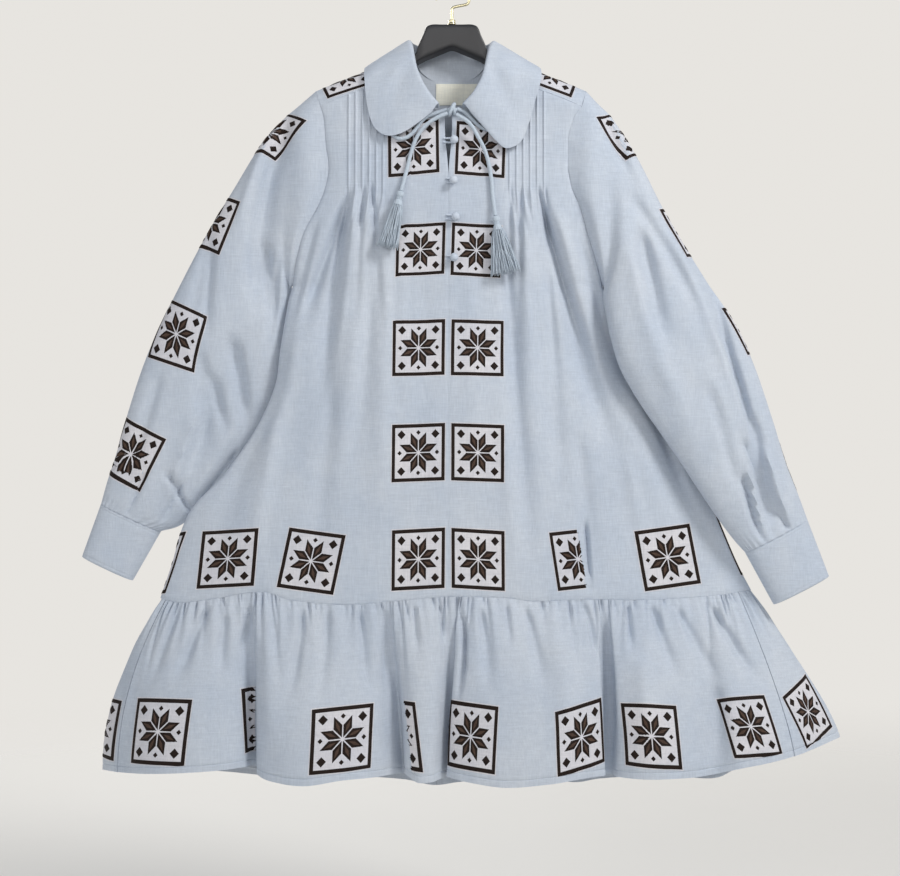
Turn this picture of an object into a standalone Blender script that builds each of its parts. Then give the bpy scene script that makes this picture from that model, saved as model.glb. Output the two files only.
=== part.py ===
# Ruffle dress on a hanger, built as cut and sewn pieces of cloth.
# Metres, +Z up. The front faces -Y and the wall side faces +Y.
# The origin is the underside of the hook's arc, where it rests on a rail.
# Tables hold real sizes in millimetres, seen from the front in the dress's middle plane.
import bisect
import math
from collections import namedtuple

import bmesh
import bpy
from mathutils import Vector

MM = 0.001

# Driving sizes
CLOTH = 1.6 * MM
SEAM_GAP = 0.3 * MM
ARMHOLE_GAP = 0.8 * MM
ARMHOLE_TOP_Z = -138.3 * MM
SLEEVE_POINTS = 20
CENTRE_FRONT = -4.2 * MM
SHOULDER_CENTRE = -1.2 * MM
UNDERARM_Z = -371.0 * MM
ARMHOLE_MIDDLE_Z = -255.0 * MM
ARMHOLE_DEPTH = 19.0 * MM
SHOULDER_ROUND = 30.0 * MM
SIDE_ROUND = 5.0 * MM
LEFT_SIDE_FORWARD = -12.0 * MM
RIGHT_SIDE_BACK = 10.0 * MM
BACK_YOKE_Z = -215.0 * MM
TUCK_SPACING = 8.2 * MM
TUCK_COUNT = 6
TUCK_LEFT_X = -122.4 * MM
TUCK_RIGHT_X = 109.2 * MM
TUCK_HEIGHT = 1.7 * MM
TUCK_HALF_WIDTH = 2.0 * MM
TUCK_END_Z = -258.0 * MM
TUCK_FADE = 75.0 * MM
SLIT_HALF_WIDTH = 4.2 * MM
SLIT_TOP_Z = -185.0 * MM
SLIT_END_Z = -246.0 * MM
VIEW_DISTANCE = 2000.0 * MM
VIEW_X = -2.4 * MM
VIEW_Z = -554.0 * MM

# Colours: red, green, blue, roughness, metallic
CLOTH_BLUE = (0.49, 0.57, 0.68, 0.85, 0.0)
CORD_BLUE = (0.45, 0.52, 0.60, 0.80, 0.0)
LABEL_CREAM = (0.72, 0.72, 0.62, 0.70, 0.0)
HANGER_BLACK = (0.03, 0.03, 0.035, 0.35, 0.0)
HOOK_GOLD = (0.70, 0.58, 0.30, 0.25, 1.0)


# Curves read from short tables
class Smooth:
    """A smooth curve through (place, value) pairs that never overshoots them."""

    def __init__(self, pairs):
        pairs = sorted(pairs)
        self.place = [pair[0] for pair in pairs]
        self.value = [pair[1] for pair in pairs]
        steps = []
        for low, high in zip(pairs, pairs[1:]):
            steps.append((high[1] - low[1]) / (high[0] - low[0]))
        self.slope = [steps[0]]
        for before, after in zip(steps, steps[1:]):
            if before * after > 0:
                self.slope.append(2 * before * after / (before + after))
            else:
                self.slope.append(0.0)
        self.slope.append(steps[-1])

    def __call__(self, place):
        if place <= self.place[0]:
            return self.value[0]
        if place >= self.place[-1]:
            return self.value[-1]
        i = bisect.bisect_right(self.place, place) - 1
        width = self.place[i + 1] - self.place[i]
        t = (place - self.place[i]) / width
        rise = self.value[i + 1] - self.value[i]
        bend_in = self.slope[i] * width - rise
        bend_out = rise - self.slope[i + 1] * width
        return self.value[i] + t * rise + t * (1 - t) * ((1 - t) * bend_in + t * bend_out)


def column(rows, key, name):
    """A smooth curve of one named column against another, in metres."""
    return Smooth([(getattr(row, key) * MM, getattr(row, name) * MM) for row in rows])


def clamp(value, low, high):
    return max(low, min(high, value))


def ease(t):
    t = clamp(t, 0.0, 1.0)
    return t * t * (3 - 2 * t)


def mix(a, b, t):
    return a + (b - a) * t


def seen(x, y, z):
    """The point at depth y that is seen at x, z of the middle plane."""
    scale = (VIEW_DISTANCE + y) / VIEW_DISTANCE
    return Vector((mix(VIEW_X, x, scale), y, mix(VIEW_Z, z, scale)))


# The body: heights, side edges, the edges that the tucks fan from, and depths
BodyRow = namedtuple("BodyRow", "z left left_fan right right_fan front back")
BODY = [
    BodyRow(-137.8, -163.0, -150.0, 160.6, 141.0, 25, 21),
    BodyRow(-160.6, -156.0, -150.0, 153.6, 141.0, 25, 21),
    BodyRow(-172.0, -152.5, -150.0, 145.0, 141.0, 26, 22),
    BodyRow(-203.0, -150.0, -150.0, 138.0, 141.0, 28, 23),
    BodyRow(-233.0, -146.4, -150.0, 138.0, 141.0, 30, 24),
    BodyRow(-258.0, -151.0, -150.0, 142.8, 142.0, 31, 25),
    BodyRow(-276.0, -158.0, -153.0, 151.0, 145.0, 32, 26),
    BodyRow(-313.0, -177.6, -169.0, 162.0, 158.0, 33, 27),
    BodyRow(-345.0, -186.0, -183.0, 172.0, 171.0, 34, 28),
    BodyRow(-371.0, -190.8, -190.8, 180.0, 180.0, 35, 29),
    BodyRow(-387.0, -195.5, -195.5, 187.0, 187.0, 35, 29),
    BodyRow(-407.0, -199.0, -199.0, 190.5, 190.5, 36, 30),
    BodyRow(-434.0, -203.0, -203.0, 198.0, 198.0, 36, 30),
    BodyRow(-452.0, -205.5, -205.5, 206.0, 206.0, 36, 31),
    BodyRow(-480.0, -208.5, -208.5, 223.0, 223.0, 37, 31),
    BodyRow(-524.0, -224.0, -224.0, 253.0, 253.0, 38, 32),
    BodyRow(-596.0, -271.0, -271.0, 297.6, 297.6, 40, 33),
    BodyRow(-640.6, -312.0, -312.0, 316.8, 316.8, 41, 34),
    BodyRow(-664.6, -323.0, -323.0, 326.4, 326.4, 42, 35),
    BodyRow(-704.0, -334.0, -334.0, 343.2, 343.2, 43, 36),
    BodyRow(-745.0, -348.0, -348.0, 364.8, 364.8, 44, 37),
]
left_edge = column(BODY, "z", "left")
left_fan = column(BODY, "z", "left_fan")
right_edge = column(BODY, "z", "right")
right_fan = column(BODY, "z", "right_fan")
front_depth = column(BODY, "z", "front")
back_depth = column(BODY, "z", "back")

# Shoulder line, forward yoke seam and neck seams, against the distance from the centre
Across = namedtuple("Across", "x z")
shoulder_line = column([
    Across(0, -70.0), Across(48.3, -92.4), Across(102.6, -115.0),
    Across(135, -127.5), Across(165, -139.5),
], "x", "z")
yoke_seam = column([
    Across(49, -124.0), Across(104, -140.2), Across(132, -149.8), Across(166, -164.5),
], "x", "z")
front_neck = column([
    Across(3, -168.5), Across(18, -165.0), Across(28, -158.5), Across(37, -148.0),
    Across(44, -135.0), Across(49, -124.0),
], "x", "z")
back_neck = column([
    Across(0, -124.0), Across(14, -122.8), Across(28, -118.0), Across(40, -108.0),
    Across(46, -98.0), Across(48.3, -92.4),
], "x", "z")
NECK_FRONT_X = 49.0 * MM
NECK_SIDE_X = 48.3 * MM

# The body's hem, where the ruffle is sewn on
Hem = namedtuple("Hem", "x z")
body_hem = column([
    Hem(-348, -744.5), Hem(-322, -749.0), Hem(-290, -745.0), Hem(-225, -734.8),
    Hem(-190, -744.0), Hem(-125, -749.3), Hem(-60, -744.5), Hem(0, -740.2),
    Hem(60, -741.5), Hem(98, -746.2), Hem(160, -744.5), Hem(220, -746.0),
    Hem(310, -743.0), Hem(338, -740.0), Hem(365, -737.0),
], "x", "z")
back_hem = column([Hem(-348, -744.5), Hem(0, -742.0), Hem(365, -737.0)], "x", "z")

# Large soft folds: heights of both ends, x at the top, middle and bottom,
# half widths at both ends, and depth (out of the cloth is positive)
Fold = namedtuple("Fold", "top bottom x_top x_middle x_bottom width_top width_bottom depth")
FRONT_FOLDS = [
    Fold(-262, -470, -121, -160, -196, 7, 13, -8),
    Fold(-262, -560, -122, -150, -158, 6, 17, -7),
    Fold(-262, -640, -103, -116, -132, 8, 20, 5),
    Fold(-300, -690, -80, -82, -84, 9, 16, 5),
    Fold(-330, -740, -165, -205, -262, 10, 24, 6),
    Fold(-420, -740, -190, -245, -300, 8, 20, -4),
    Fold(-262, -600, 106, 144, 202, 7, 15, -11),
    Fold(-262, -700, 98, 118, 138, 6, 14, -5),
    Fold(-280, -740, 60, 74, 98, 6, 12, -8),
    Fold(-262, -640, 118, 168, 235, 8, 22, 6),
    Fold(-262, -560, 84, 94, 108, 8, 14, 5),
    Fold(-480, -740, 205, 240, 275, 12, 26, 5),
]
BACK_FOLDS = [
    Fold(-222, -600, -120, -150, -205, 8, 22, 7),
    Fold(-222, -680, -80, -98, -130, 8, 20, 8),
    Fold(-222, -560, -40, -48, -60, 8, 18, 7),
    Fold(-222, -700, 0, 0, 4, 8, 20, 8),
    Fold(-222, -560, 40, 50, 64, 8, 18, 7),
    Fold(-222, -680, 80, 100, 138, 8, 20, 8),
    Fold(-222, -600, 115, 146, 205, 8, 22, 7),
    Fold(-420, -740, -255, -270, -285, 12, 24, 6),
    Fold(-400, -740, 175, 215, 262, 12, 24, 6),
]


def fold_depth(folds, x, z):
    """How far the folds carry the cloth out at x, z."""
    total = 0.0
    for fold in folds:
        run = (fold.top * MM - z) / ((fold.top - fold.bottom) * MM)
        if 0.0 < run < 1.0:
            start = mix(fold.x_top, fold.x_middle, run)
            end = mix(fold.x_middle, fold.x_bottom, run)
            centre = mix(start, end, run) * MM
            width = mix(fold.width_top, fold.width_bottom, run) * MM
            aside = (x - centre) / width
            fade = ease(run / 0.18) * ease((1.0 - run) / 0.45)
            total += fold.depth * MM * fade * math.exp(-aside * aside)
    return total


def armhole_depth(z):
    """Half the armhole's depth at a height, closing at the underarm."""
    if z >= ARMHOLE_MIDDLE_Z:
        return ARMHOLE_DEPTH
    if z <= UNDERARM_Z:
        return 0.0
    drop = (ARMHOLE_MIDDLE_Z - z) / (ARMHOLE_MIDDLE_Z - UNDERARM_Z)
    return ARMHOLE_DEPTH * math.sqrt(1.0 - drop * drop)


def side_share(x, z):
    """Minus one at the left edge, one at the right edge."""
    left = left_edge(z)
    right = right_edge(z)
    return clamp((2 * x - left - right) / (right - left), -1.0, 1.0)


def middle_sheet(x, z):
    """The middle of the flattened body: its left side lies forward, its right side back."""
    lean = ease((UNDERARM_Z - z) / (95 * MM))
    share = (side_share(x, z) + 1.0) / 2.0
    return lean * mix(LEFT_SIDE_FORWARD, RIGHT_SIDE_BACK, share)


def half_thickness(x, z, face):
    """Half the body's thickness: face is -1 for the front and 1 for the back."""
    share = side_share(x, z)
    from_side = (1.0 - abs(share)) * (right_edge(z) - left_edge(z)) / 2.0
    roll = 1.0 - min(from_side / SIDE_ROUND, 1.0)
    side = SIDE_ROUND * math.sqrt(1.0 - roll * roll)
    opening = armhole_depth(z)
    depth = front_depth(z) if face < 0 else back_depth(z)
    room = depth - math.hypot(opening, SIDE_ROUND)
    full_side = share * face > 0
    crown = (1.0 - abs(share) ** 2.6) ** 0.7 if full_side else 1.0 - share * share
    below = shoulder_line(abs(x - SHOULDER_CENTRE)) - z
    lip = 1.0 - clamp(below / SHOULDER_ROUND, 0.0, 1.0)
    return math.sqrt(1.0 - lip * lip) * (math.hypot(opening, side) + room * crown)


def pintucks(x, z):
    """The stitched tucks below the yoke, which open into soft ridges under their ends."""
    inward = CENTRE_FRONT - x if x < CENTRE_FRONT else x - CENTRE_FRONT
    outer = CENTRE_FRONT - TUCK_LEFT_X if x < CENTRE_FRONT else TUCK_RIGHT_X - CENTRE_FRONT
    fan_edge = left_fan(z) if x < CENTRE_FRONT else right_fan(z)
    fan_top = left_fan(TUCK_END_Z) if x < CENTRE_FRONT else right_fan(TUCK_END_Z)
    spread = (fan_edge - CENTRE_FRONT) / (fan_top - CENTRE_FRONT) if z < TUCK_END_Z else 1.0
    place = (outer - inward / spread) / TUCK_SPACING
    nearest = clamp(round(place), 0, TUCK_COUNT - 1)
    aside = abs(place - nearest) * TUCK_SPACING
    opened = ease((TUCK_END_Z - z) / TUCK_FADE)
    half = mix(TUCK_HALF_WIDTH, TUCK_SPACING * 0.55, ease(opened * 3.0))
    rise = max(0.0, 1.0 - aside / half)
    return TUCK_HEIGHT * (1.0 - opened) * ease(rise) * (1.0 + 0.8 * ease(opened * 2.0))


def front_y(x, z):
    """Depth of the front's outer face."""
    inside = (1.0 - abs(side_share(x, z))) * (right_edge(z) - left_edge(z)) / 2.0
    calm = ease(inside / (24 * MM))
    raised = fold_depth(FRONT_FOLDS, x, z) * calm + pintucks(x, z)
    return middle_sheet(x, z) - half_thickness(x, z, -1) - raised


def back_y(x, z):
    """Depth of the back's outer face."""
    inside = (1.0 - abs(side_share(x, z))) * (right_edge(z) - left_edge(z)) / 2.0
    calm = ease(inside / (24 * MM))
    return middle_sheet(x, z) + half_thickness(x, z, 1) + fold_depth(BACK_FOLDS, x, z) * calm


# Making solids
def material(name, finish):
    made = bpy.data.materials.get(name)
    if made is None:
        made = bpy.data.materials.new(name)
        made.use_nodes = True
        shader = made.node_tree.nodes["Principled BSDF"]
        shader.inputs["Base Color"].default_value = (*finish[:3], 1.0)
        shader.inputs["Roughness"].default_value = finish[3]
        shader.inputs["Metallic"].default_value = finish[4]
    return made


def add_object(name, mesh_source, made):
    """Adds a mesh with its faces turned outward."""
    bmesh.ops.recalc_face_normals(mesh_source, faces=mesh_source.faces)
    mesh = bpy.data.meshes.new(name)
    mesh_source.to_mesh(mesh)
    mesh_source.free()
    mesh.shade_smooth()
    mesh.set_sharp_from_angle(angle=math.radians(50))
    mesh.materials.append(made)
    item = bpy.data.objects.new(name, mesh)
    bpy.context.scene.collection.objects.link(item)
    return item


def wall(name, outer, inner, made, tube=False):
    """A closed cloth wall between two grids of points; a tube's rows are rings."""
    mesh = bmesh.new()
    rows = len(outer)
    count = len(outer[0])
    out = [[mesh.verts.new(point) for point in row] for row in outer]
    back = [[mesh.verts.new(point) for point in row] for row in inner]
    last = count if tube else count - 1
    for r in range(rows - 1):
        for c in range(last):
            d = (c + 1) % count
            mesh.faces.new((out[r][c], out[r][d], out[r + 1][d], out[r + 1][c]))
            mesh.faces.new((back[r][c], back[r + 1][c], back[r + 1][d], back[r][d]))
    for c in range(last):
        d = (c + 1) % count
        mesh.faces.new((out[0][c], back[0][c], back[0][d], out[0][d]))
        mesh.faces.new((out[-1][c], out[-1][d], back[-1][d], back[-1][c]))
    if not tube:
        for r in range(rows - 1):
            mesh.faces.new((out[r][0], out[r + 1][0], back[r + 1][0], back[r][0]))
            mesh.faces.new((out[r][-1], back[r][-1], back[r + 1][-1], out[r + 1][-1]))
    return add_object(name, mesh, made)


def solid_rings(name, rings, made):
    """A closed solid through rings of points, capped at both ends."""
    mesh = bmesh.new()
    layers = [[mesh.verts.new(point) for point in ring] for ring in rings]
    count = len(rings[0])
    for low, high in zip(layers, layers[1:]):
        for c in range(count):
            d = (c + 1) % count
            mesh.faces.new((low[c], low[d], high[d], high[c]))
    mesh.faces.new(layers[0])
    mesh.faces.new(list(reversed(layers[-1])))
    return add_object(name, mesh, made)


def inset(points, thickness, steer):
    """The grid moved into the cloth; steer may turn the direction at a row and column."""
    rows = len(points)
    count = len(points[0])
    moved = []
    for r in range(rows):
        line = []
        for c in range(count):
            down = points[min(r + 1, rows - 1)][c] - points[max(r - 1, 0)][c]
            along = points[r][min(c + 1, count - 1)] - points[r][max(c - 1, 0)]
            direction = down.cross(along)
            direction.normalize()
            direction = steer(r, c, direction)
            line.append(points[r][c] + direction.normalized() * thickness)
        moved.append(line)
    return moved


def flat_in_z(direction):
    return Vector((direction.x, direction.y, 0.0))


# Fronts, back and yoke
def armhole_height(turn):
    """Height of an armhole point, by its turn from the shoulder to the underarm."""
    return mix(UNDERARM_Z, ARMHOLE_TOP_Z, (1.0 + math.cos(turn)) / 2.0)


ARMHOLE_LEVELS = [armhole_height(2 * math.pi * k / SLEEVE_POINTS) for k in range(3, 11)]
LOWER_LEVELS = [z * MM for z in (-425, -495, -575, -655)]
PANEL_Z = ARMHOLE_LEVELS + LOWER_LEVELS


def slit(z):
    """How far the neck slit stands open on each side of the centre front."""
    return SLIT_HALF_WIDTH * ease((z - SLIT_END_Z) / (SLIT_TOP_Z - SLIT_END_Z))


def front_top(x):
    aside = abs(x - SHOULDER_CENTRE)
    if aside >= NECK_FRONT_X:
        return yoke_seam(aside) - SEAM_GAP
    return front_neck(aside)


def front_columns(outermost):
    """Shares of the way from the fan's edge to the centre front."""
    width = abs(outermost[0] - CENTRE_FRONT)
    shares = [0.06, 0.13]
    for tuck in range(TUCK_COUNT):
        centre = outermost[1] / width + tuck * TUCK_SPACING / width
        half = TUCK_HALF_WIDTH / width
        shares += [centre - half, centre, centre + half]
    rest = shares[-1]
    shares += [mix(rest, 1.0, step / 6.0) for step in range(1, 7)]
    return shares


def front_panel(name, side):
    """One front, from its side edge to the centre front; side is -1 for the left."""
    edge = left_edge if side < 0 else right_edge
    fan = left_fan if side < 0 else right_fan
    outer_tuck = TUCK_LEFT_X if side < 0 else TUCK_RIGHT_X
    fan_top = fan(TUCK_END_Z)
    shares = front_columns((fan_top, abs(fan_top - outer_tuck)))
    rolls = [0.0, 1.2 * MM, 4.0 * MM]

    def x_at(index, z):
        if index < len(rolls):
            return edge(z) - side * rolls[index]
        share = shares[index - len(rolls)]
        centre = CENTRE_FRONT + side * (SEAM_GAP / 2 + slit(z))
        fanned = mix(fan(z), CENTRE_FRONT, share)
        pull = clamp(1.0 - share / 0.2, 0.0, 1.0)
        fanned += (edge(z) - fan(z)) * pull
        return centre if share > 0.999 else fanned

    points = []
    count = len(rolls) + len(shares)
    for r in range(len(PANEL_Z) + 2):
        line = []
        for c in range(count):
            z = PANEL_Z[r - 1] if 0 < r <= len(PANEL_Z) else PANEL_Z[0]
            x = x_at(c, z)
            if r == 0:
                x = x_at(c, front_top(x_at(c, -160 * MM)))
                z = front_top(x)
            if r == len(PANEL_Z) + 1:
                z = body_hem(x_at(c, -745 * MM))
                x = x_at(c, z)
            y = front_y(x, z)
            if c == 0 and z <= UNDERARM_Z:
                y = middle_sheet(x, z) - SEAM_GAP / 2
            line.append(Vector((x, y, z)))
        points.append(line)

    def steer(r, c, direction):
        if direction.y < 0:
            direction = -direction
        if r in (0, len(PANEL_Z) + 1):
            direction = flat_in_z(direction)
        if c == 0:
            above = points[r][c].z > UNDERARM_Z + 1 * MM
            direction = Vector((0, 1, 0)) if above else Vector((-side, 0, 0))
        if c == count - 1:
            direction.x = 0.0
        return direction

    return wall(name, points, inset(points, CLOTH, steer), material("cloth", CLOTH_BLUE))


def back_panel():
    rolls = [0.0, 1.2 * MM, 4.0 * MM]
    inner = [0.06] + [mix(0.13, 0.87, step / 20.0) for step in range(21)] + [0.94]
    levels = [BACK_YOKE_Z - SEAM_GAP] + ARMHOLE_LEVELS[2:] + LOWER_LEVELS
    points = []
    for r in range(len(levels) + 1):
        line = []
        for c in range(len(inner) + 2 * len(rolls)):
            z = levels[min(r, len(levels) - 1)]

            def x_at(height):
                if c < len(rolls):
                    return left_edge(height) + rolls[c]
                if c >= len(inner) + len(rolls):
                    return right_edge(height) - rolls[len(inner) + 2 * len(rolls) - 1 - c]
                return mix(left_edge(height), right_edge(height), inner[c - len(rolls)])

            if r == len(levels):
                z = back_hem(x_at(-745 * MM))
            x = x_at(z)
            y = back_y(x, z)
            at_side = c in (0, len(inner) + 2 * len(rolls) - 1)
            if at_side and z <= UNDERARM_Z:
                y = middle_sheet(x, z) + SEAM_GAP / 2
            line.append(Vector((x, y, z)))
        points.append(line)
    last = len(points[0]) - 1

    def steer(r, c, direction):
        if direction.y > 0:
            direction = -direction
        if r in (0, len(levels)):
            direction = flat_in_z(direction)
        if c in (0, last):
            above = points[r][c].z > UNDERARM_Z + 1 * MM
            sideways = Vector((1, 0, 0)) if c == 0 else Vector((-1, 0, 0))
            direction = Vector((0, -1, 0)) if above else sideways
        return direction

    return wall("back", points, inset(points, CLOTH, steer), material("cloth", CLOTH_BLUE))


def drop_root(x, z):
    """The root of a height's drop below the shoulder line, which runs evenly over it."""
    return math.sqrt(max(0.0, shoulder_line(abs(x - SHOULDER_CENTRE)) - z))


def yoke_point(x, root):
    """A point of the yoke's outer face; a negative root is in front of the shoulder."""
    z = shoulder_line(abs(x - SHOULDER_CENTRE)) - root * root
    if abs(root) < 1e-9:
        return Vector((x, 0.0, z))
    face = -1 if root < 0 else 1
    return Vector((x, middle_sheet(x, z) + face * half_thickness(x, z, face), z))


# The yoke's rays: distance from the centre on the neck seam, and the share of the
# way round its outer end, which runs up the armhole and then along the back seam
YokeRay = namedtuple("YokeRay", "neck_x outer_x outer_root")
YOKE_RAYS = [
    YokeRay(0, 0, None), YokeRay(8, 24, None), YokeRay(16, 50, None), YokeRay(24, 78, None),
    YokeRay(32, 106, None), YokeRay(39, 131, None), YokeRay(44, None, 1.0),
    YokeRay(45.2, None, 0.84), YokeRay(46.2, None, 0.66), YokeRay(47.1, None, 0.46),
    YokeRay(47.7, None, 0.28), YokeRay(48.1, None, 0.13), YokeRay(48.3, None, 0.0),
    YokeRay(48.5, None, -0.26), YokeRay(48.8, None, -0.6), YokeRay(49.0, None, -1.0),
]
YOKE_STEPS = 7


def armhole_tip(root, side):
    """The armhole edge at one drop below the shoulder."""
    edge = left_edge if side < 0 else right_edge
    x = edge(-145 * MM)
    for _ in range(12):
        x = edge(shoulder_line(abs(x - SHOULDER_CENTRE)) - root * root)
    return x


def yoke_ray(ray, side):
    """Points from the neck seam to the yoke's outer edge."""
    neck_x = SHOULDER_CENTRE + side * ray.neck_x * MM
    if ray.neck_x > 48.9:
        neck_root = -drop_root(neck_x, yoke_seam(ray.neck_x * MM))
    elif ray.outer_root is not None and ray.outer_root < 0:
        neck_root = 0.17 * ray.outer_root
    else:
        neck_root = drop_root(neck_x, back_neck(ray.neck_x * MM))
    if ray.outer_x is not None:
        outer_x = SHOULDER_CENTRE + side * ray.outer_x * MM
        outer_root = drop_root(outer_x, BACK_YOKE_Z)
    else:
        corner_x = armhole_tip(0.28, side)
        if ray.outer_root < 0:
            corner_x = armhole_tip(0.15, side)
            span = drop_root(corner_x, yoke_seam(abs(corner_x - SHOULDER_CENTRE)))
        else:
            span = drop_root(corner_x, BACK_YOKE_Z)
        outer_root = ray.outer_root * span
        outer_x = armhole_tip(outer_root, side)
    line = []
    for step in range(YOKE_STEPS + 1):
        share = step / YOKE_STEPS
        x = mix(neck_x, outer_x, share)
        root = mix(neck_root, outer_root, share)
        if ray.outer_x is not None or ray.outer_root == 1.0:
            z = mix(back_neck(ray.neck_x * MM), BACK_YOKE_Z, share)
            root = drop_root(x, z)
        if ray.outer_root == -1.0:
            root = -drop_root(x, yoke_seam(abs(x - SHOULDER_CENTRE)))
        line.append(yoke_point(x, root))
    return line


def yoke():
    rays = [yoke_ray(ray, -1) for ray in reversed(YOKE_RAYS)]
    rays += [yoke_ray(ray, 1) for ray in YOKE_RAYS[1:]]
    on_back_seam = [ray.outer_x is not None for ray in YOKE_RAYS]
    on_back_seam = list(reversed(on_back_seam)) + on_back_seam[1:]
    last = len(rays) - 1

    def steer(r, c, direction):
        point = rays[r][c]
        if direction.dot(Vector((0, -point.y, -30 * MM))) < 0:
            direction = -direction
        if c == YOKE_STEPS and not on_back_seam[r]:
            direction.x = 0.0
        if r in (0, last) or (c == YOKE_STEPS and on_back_seam[r]):
            direction = flat_in_z(direction)
        return direction

    return wall("yoke", rays, inset(rays, CLOTH, steer), material("cloth", CLOTH_BLUE))


# Sleeves and cuffs: the outer and inner ends of each section, the depth of its inner
# end behind the middle plane, and half the section's depth
SleeveRow = namedtuple("SleeveRow", "outer_x outer_z inner_x inner_z inner_y depth")
SLEEVE_LEFT = [
    SleeveRow(-201.6, -171.4, -199.5, -385.0, 12, 22),
    SleeveRow(-228.0, -201.4, -201.0, -406.6, 16, 25),
    SleeveRow(-254.4, -244.6, -198.0, -434.2, 19, 27),
    SleeveRow(-283.2, -287.8, -194.0, -463.0, 20, 28),
    SleeveRow(-312.0, -345.4, -195.6, -491.8, 20, 28),
    SleeveRow(-342.0, -403.0, -205.2, -520.6, 20, 28),
    SleeveRow(-362.4, -446.2, -218.4, -547.0, 20, 27),
    SleeveRow(-378.0, -489.4, -237.6, -572.2, 20, 26),
    SleeveRow(-391.2, -532.6, -259.2, -598.6, 19, 25),
    SleeveRow(-403.2, -575.8, -283.2, -625.0, 18, 24),
    SleeveRow(-412.8, -604.6, -306.0, -644.2, 16, 23),
    SleeveRow(-417.6, -621.4, -328.0, -659.8, 13, 21),
    SleeveRow(-420.6, -632.2, -349.2, -665.8, 10, 18),
]
SLEEVE_RIGHT = [
    SleeveRow(190.8, -169.0, 187.0, -384.0, -8, 20),
    SleeveRow(220.8, -215.8, 187.5, -407.8, -17, 25),
    SleeveRow(249.6, -273.4, 189.5, -429.4, -22, 26),
    SleeveRow(282.0, -331.0, 195.6, -455.8, -24, 27),
    SleeveRow(320.4, -388.6, 208.8, -487.0, -23, 27),
    SleeveRow(339.6, -417.4, 226.8, -514.6, -20, 26),
    SleeveRow(356.4, -451.0, 246.0, -542.2, -20, 26),
    SleeveRow(375.6, -503.8, 266.4, -571.0, -20, 25),
    SleeveRow(388.8, -547.0, 285.6, -601.0, -19, 24),
    SleeveRow(400.8, -585.4, 304.8, -629.8, -18, 23),
    SleeveRow(414.0, -619.0, 324.0, -657.4, -16, 21),
    SleeveRow(421.2, -638.2, 339.6, -677.8, -13, 19),
    SleeveRow(426.0, -651.4, 351.6, -691.0, -10, 18),
]
CUFF_END_LEFT = SleeveRow(-443.5, -695.8, -382.8, -724.6, 8, 17)
CUFF_END_RIGHT = SleeveRow(451.9, -719.2, 385.8, -753.4, -8, 17)
LEFT_SLEEVE_FOLDS = [
    Fold(-160, -460, -186, -238, -222, 8, 16, -7),
    Fold(-320, -560, -206, -214, -245, 10, 16, 5),
    Fold(-440, -640, -262, -290, -336, 10, 16, -6),
    Fold(-520, -655, -250, -282, -330, 8, 14, 5),
]
RIGHT_SLEEVE_FOLDS = [
    Fold(-200, -470, 200, 226, 262, 10, 18, -5),
    Fold(-240, -600, 255, 330, 368, 10, 14, -6),
    Fold(-300, -600, 205, 235, 300, 10, 14, 5),
    Fold(-560, -680, 352, 366, 380, 9, 9, -6),
    Fold(-440, -650, 300, 320, 345, 10, 12, 4),
]
RING_POWER = 2.4


def section_point(row, angle, shrink):
    """A point of a sleeve's section; the angle runs from its outer end over the front."""
    cosine = math.cos(angle)
    sine = math.sin(angle)
    power = 2.0 / RING_POWER
    along = math.copysign(abs(cosine) ** power, cosine)
    deep = math.copysign(abs(sine) ** power, sine)
    outer = Vector((row.outer_x * MM, 0.0, row.outer_z * MM))
    inner = seen(row.inner_x * MM, row.inner_y * MM, row.inner_z * MM)
    middle = (outer + inner) / 2
    reach = (outer - inner) / 2
    reach *= (reach.length - shrink) / reach.length
    return middle + reach * along - Vector((0, (row.depth * MM - shrink) * deep, 0))


def armhole_point(side, angle, shrink):
    """A point of the armhole, with the angle running from the shoulder over the front."""
    edge = left_edge if side < 0 else right_edge
    height = armhole_height(angle)
    x = edge(height) + side * ARMHOLE_GAP
    face = -1 if math.sin(angle) >= 0 else 1
    below = shoulder_line(abs(x - SHOULDER_CENTRE)) - height
    lip = 1.0 - clamp(below / SHOULDER_ROUND, 0.0, 1.0)
    reach = armhole_depth(height) * math.sqrt(1.0 - lip * lip)
    if abs(math.sin(angle)) < 1e-6:
        reach = 0.0
    point = Vector((x, face * reach, height))
    centre = Vector((x, 0.0, mix(UNDERARM_Z, ARMHOLE_TOP_Z, 0.5)))
    inward = centre - point
    return point + inward.normalized() * shrink


def blend_rows(first, second, share):
    values = [mix(a, b, share) for a, b in zip(first, second)]
    return SleeveRow(*values)


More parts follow.
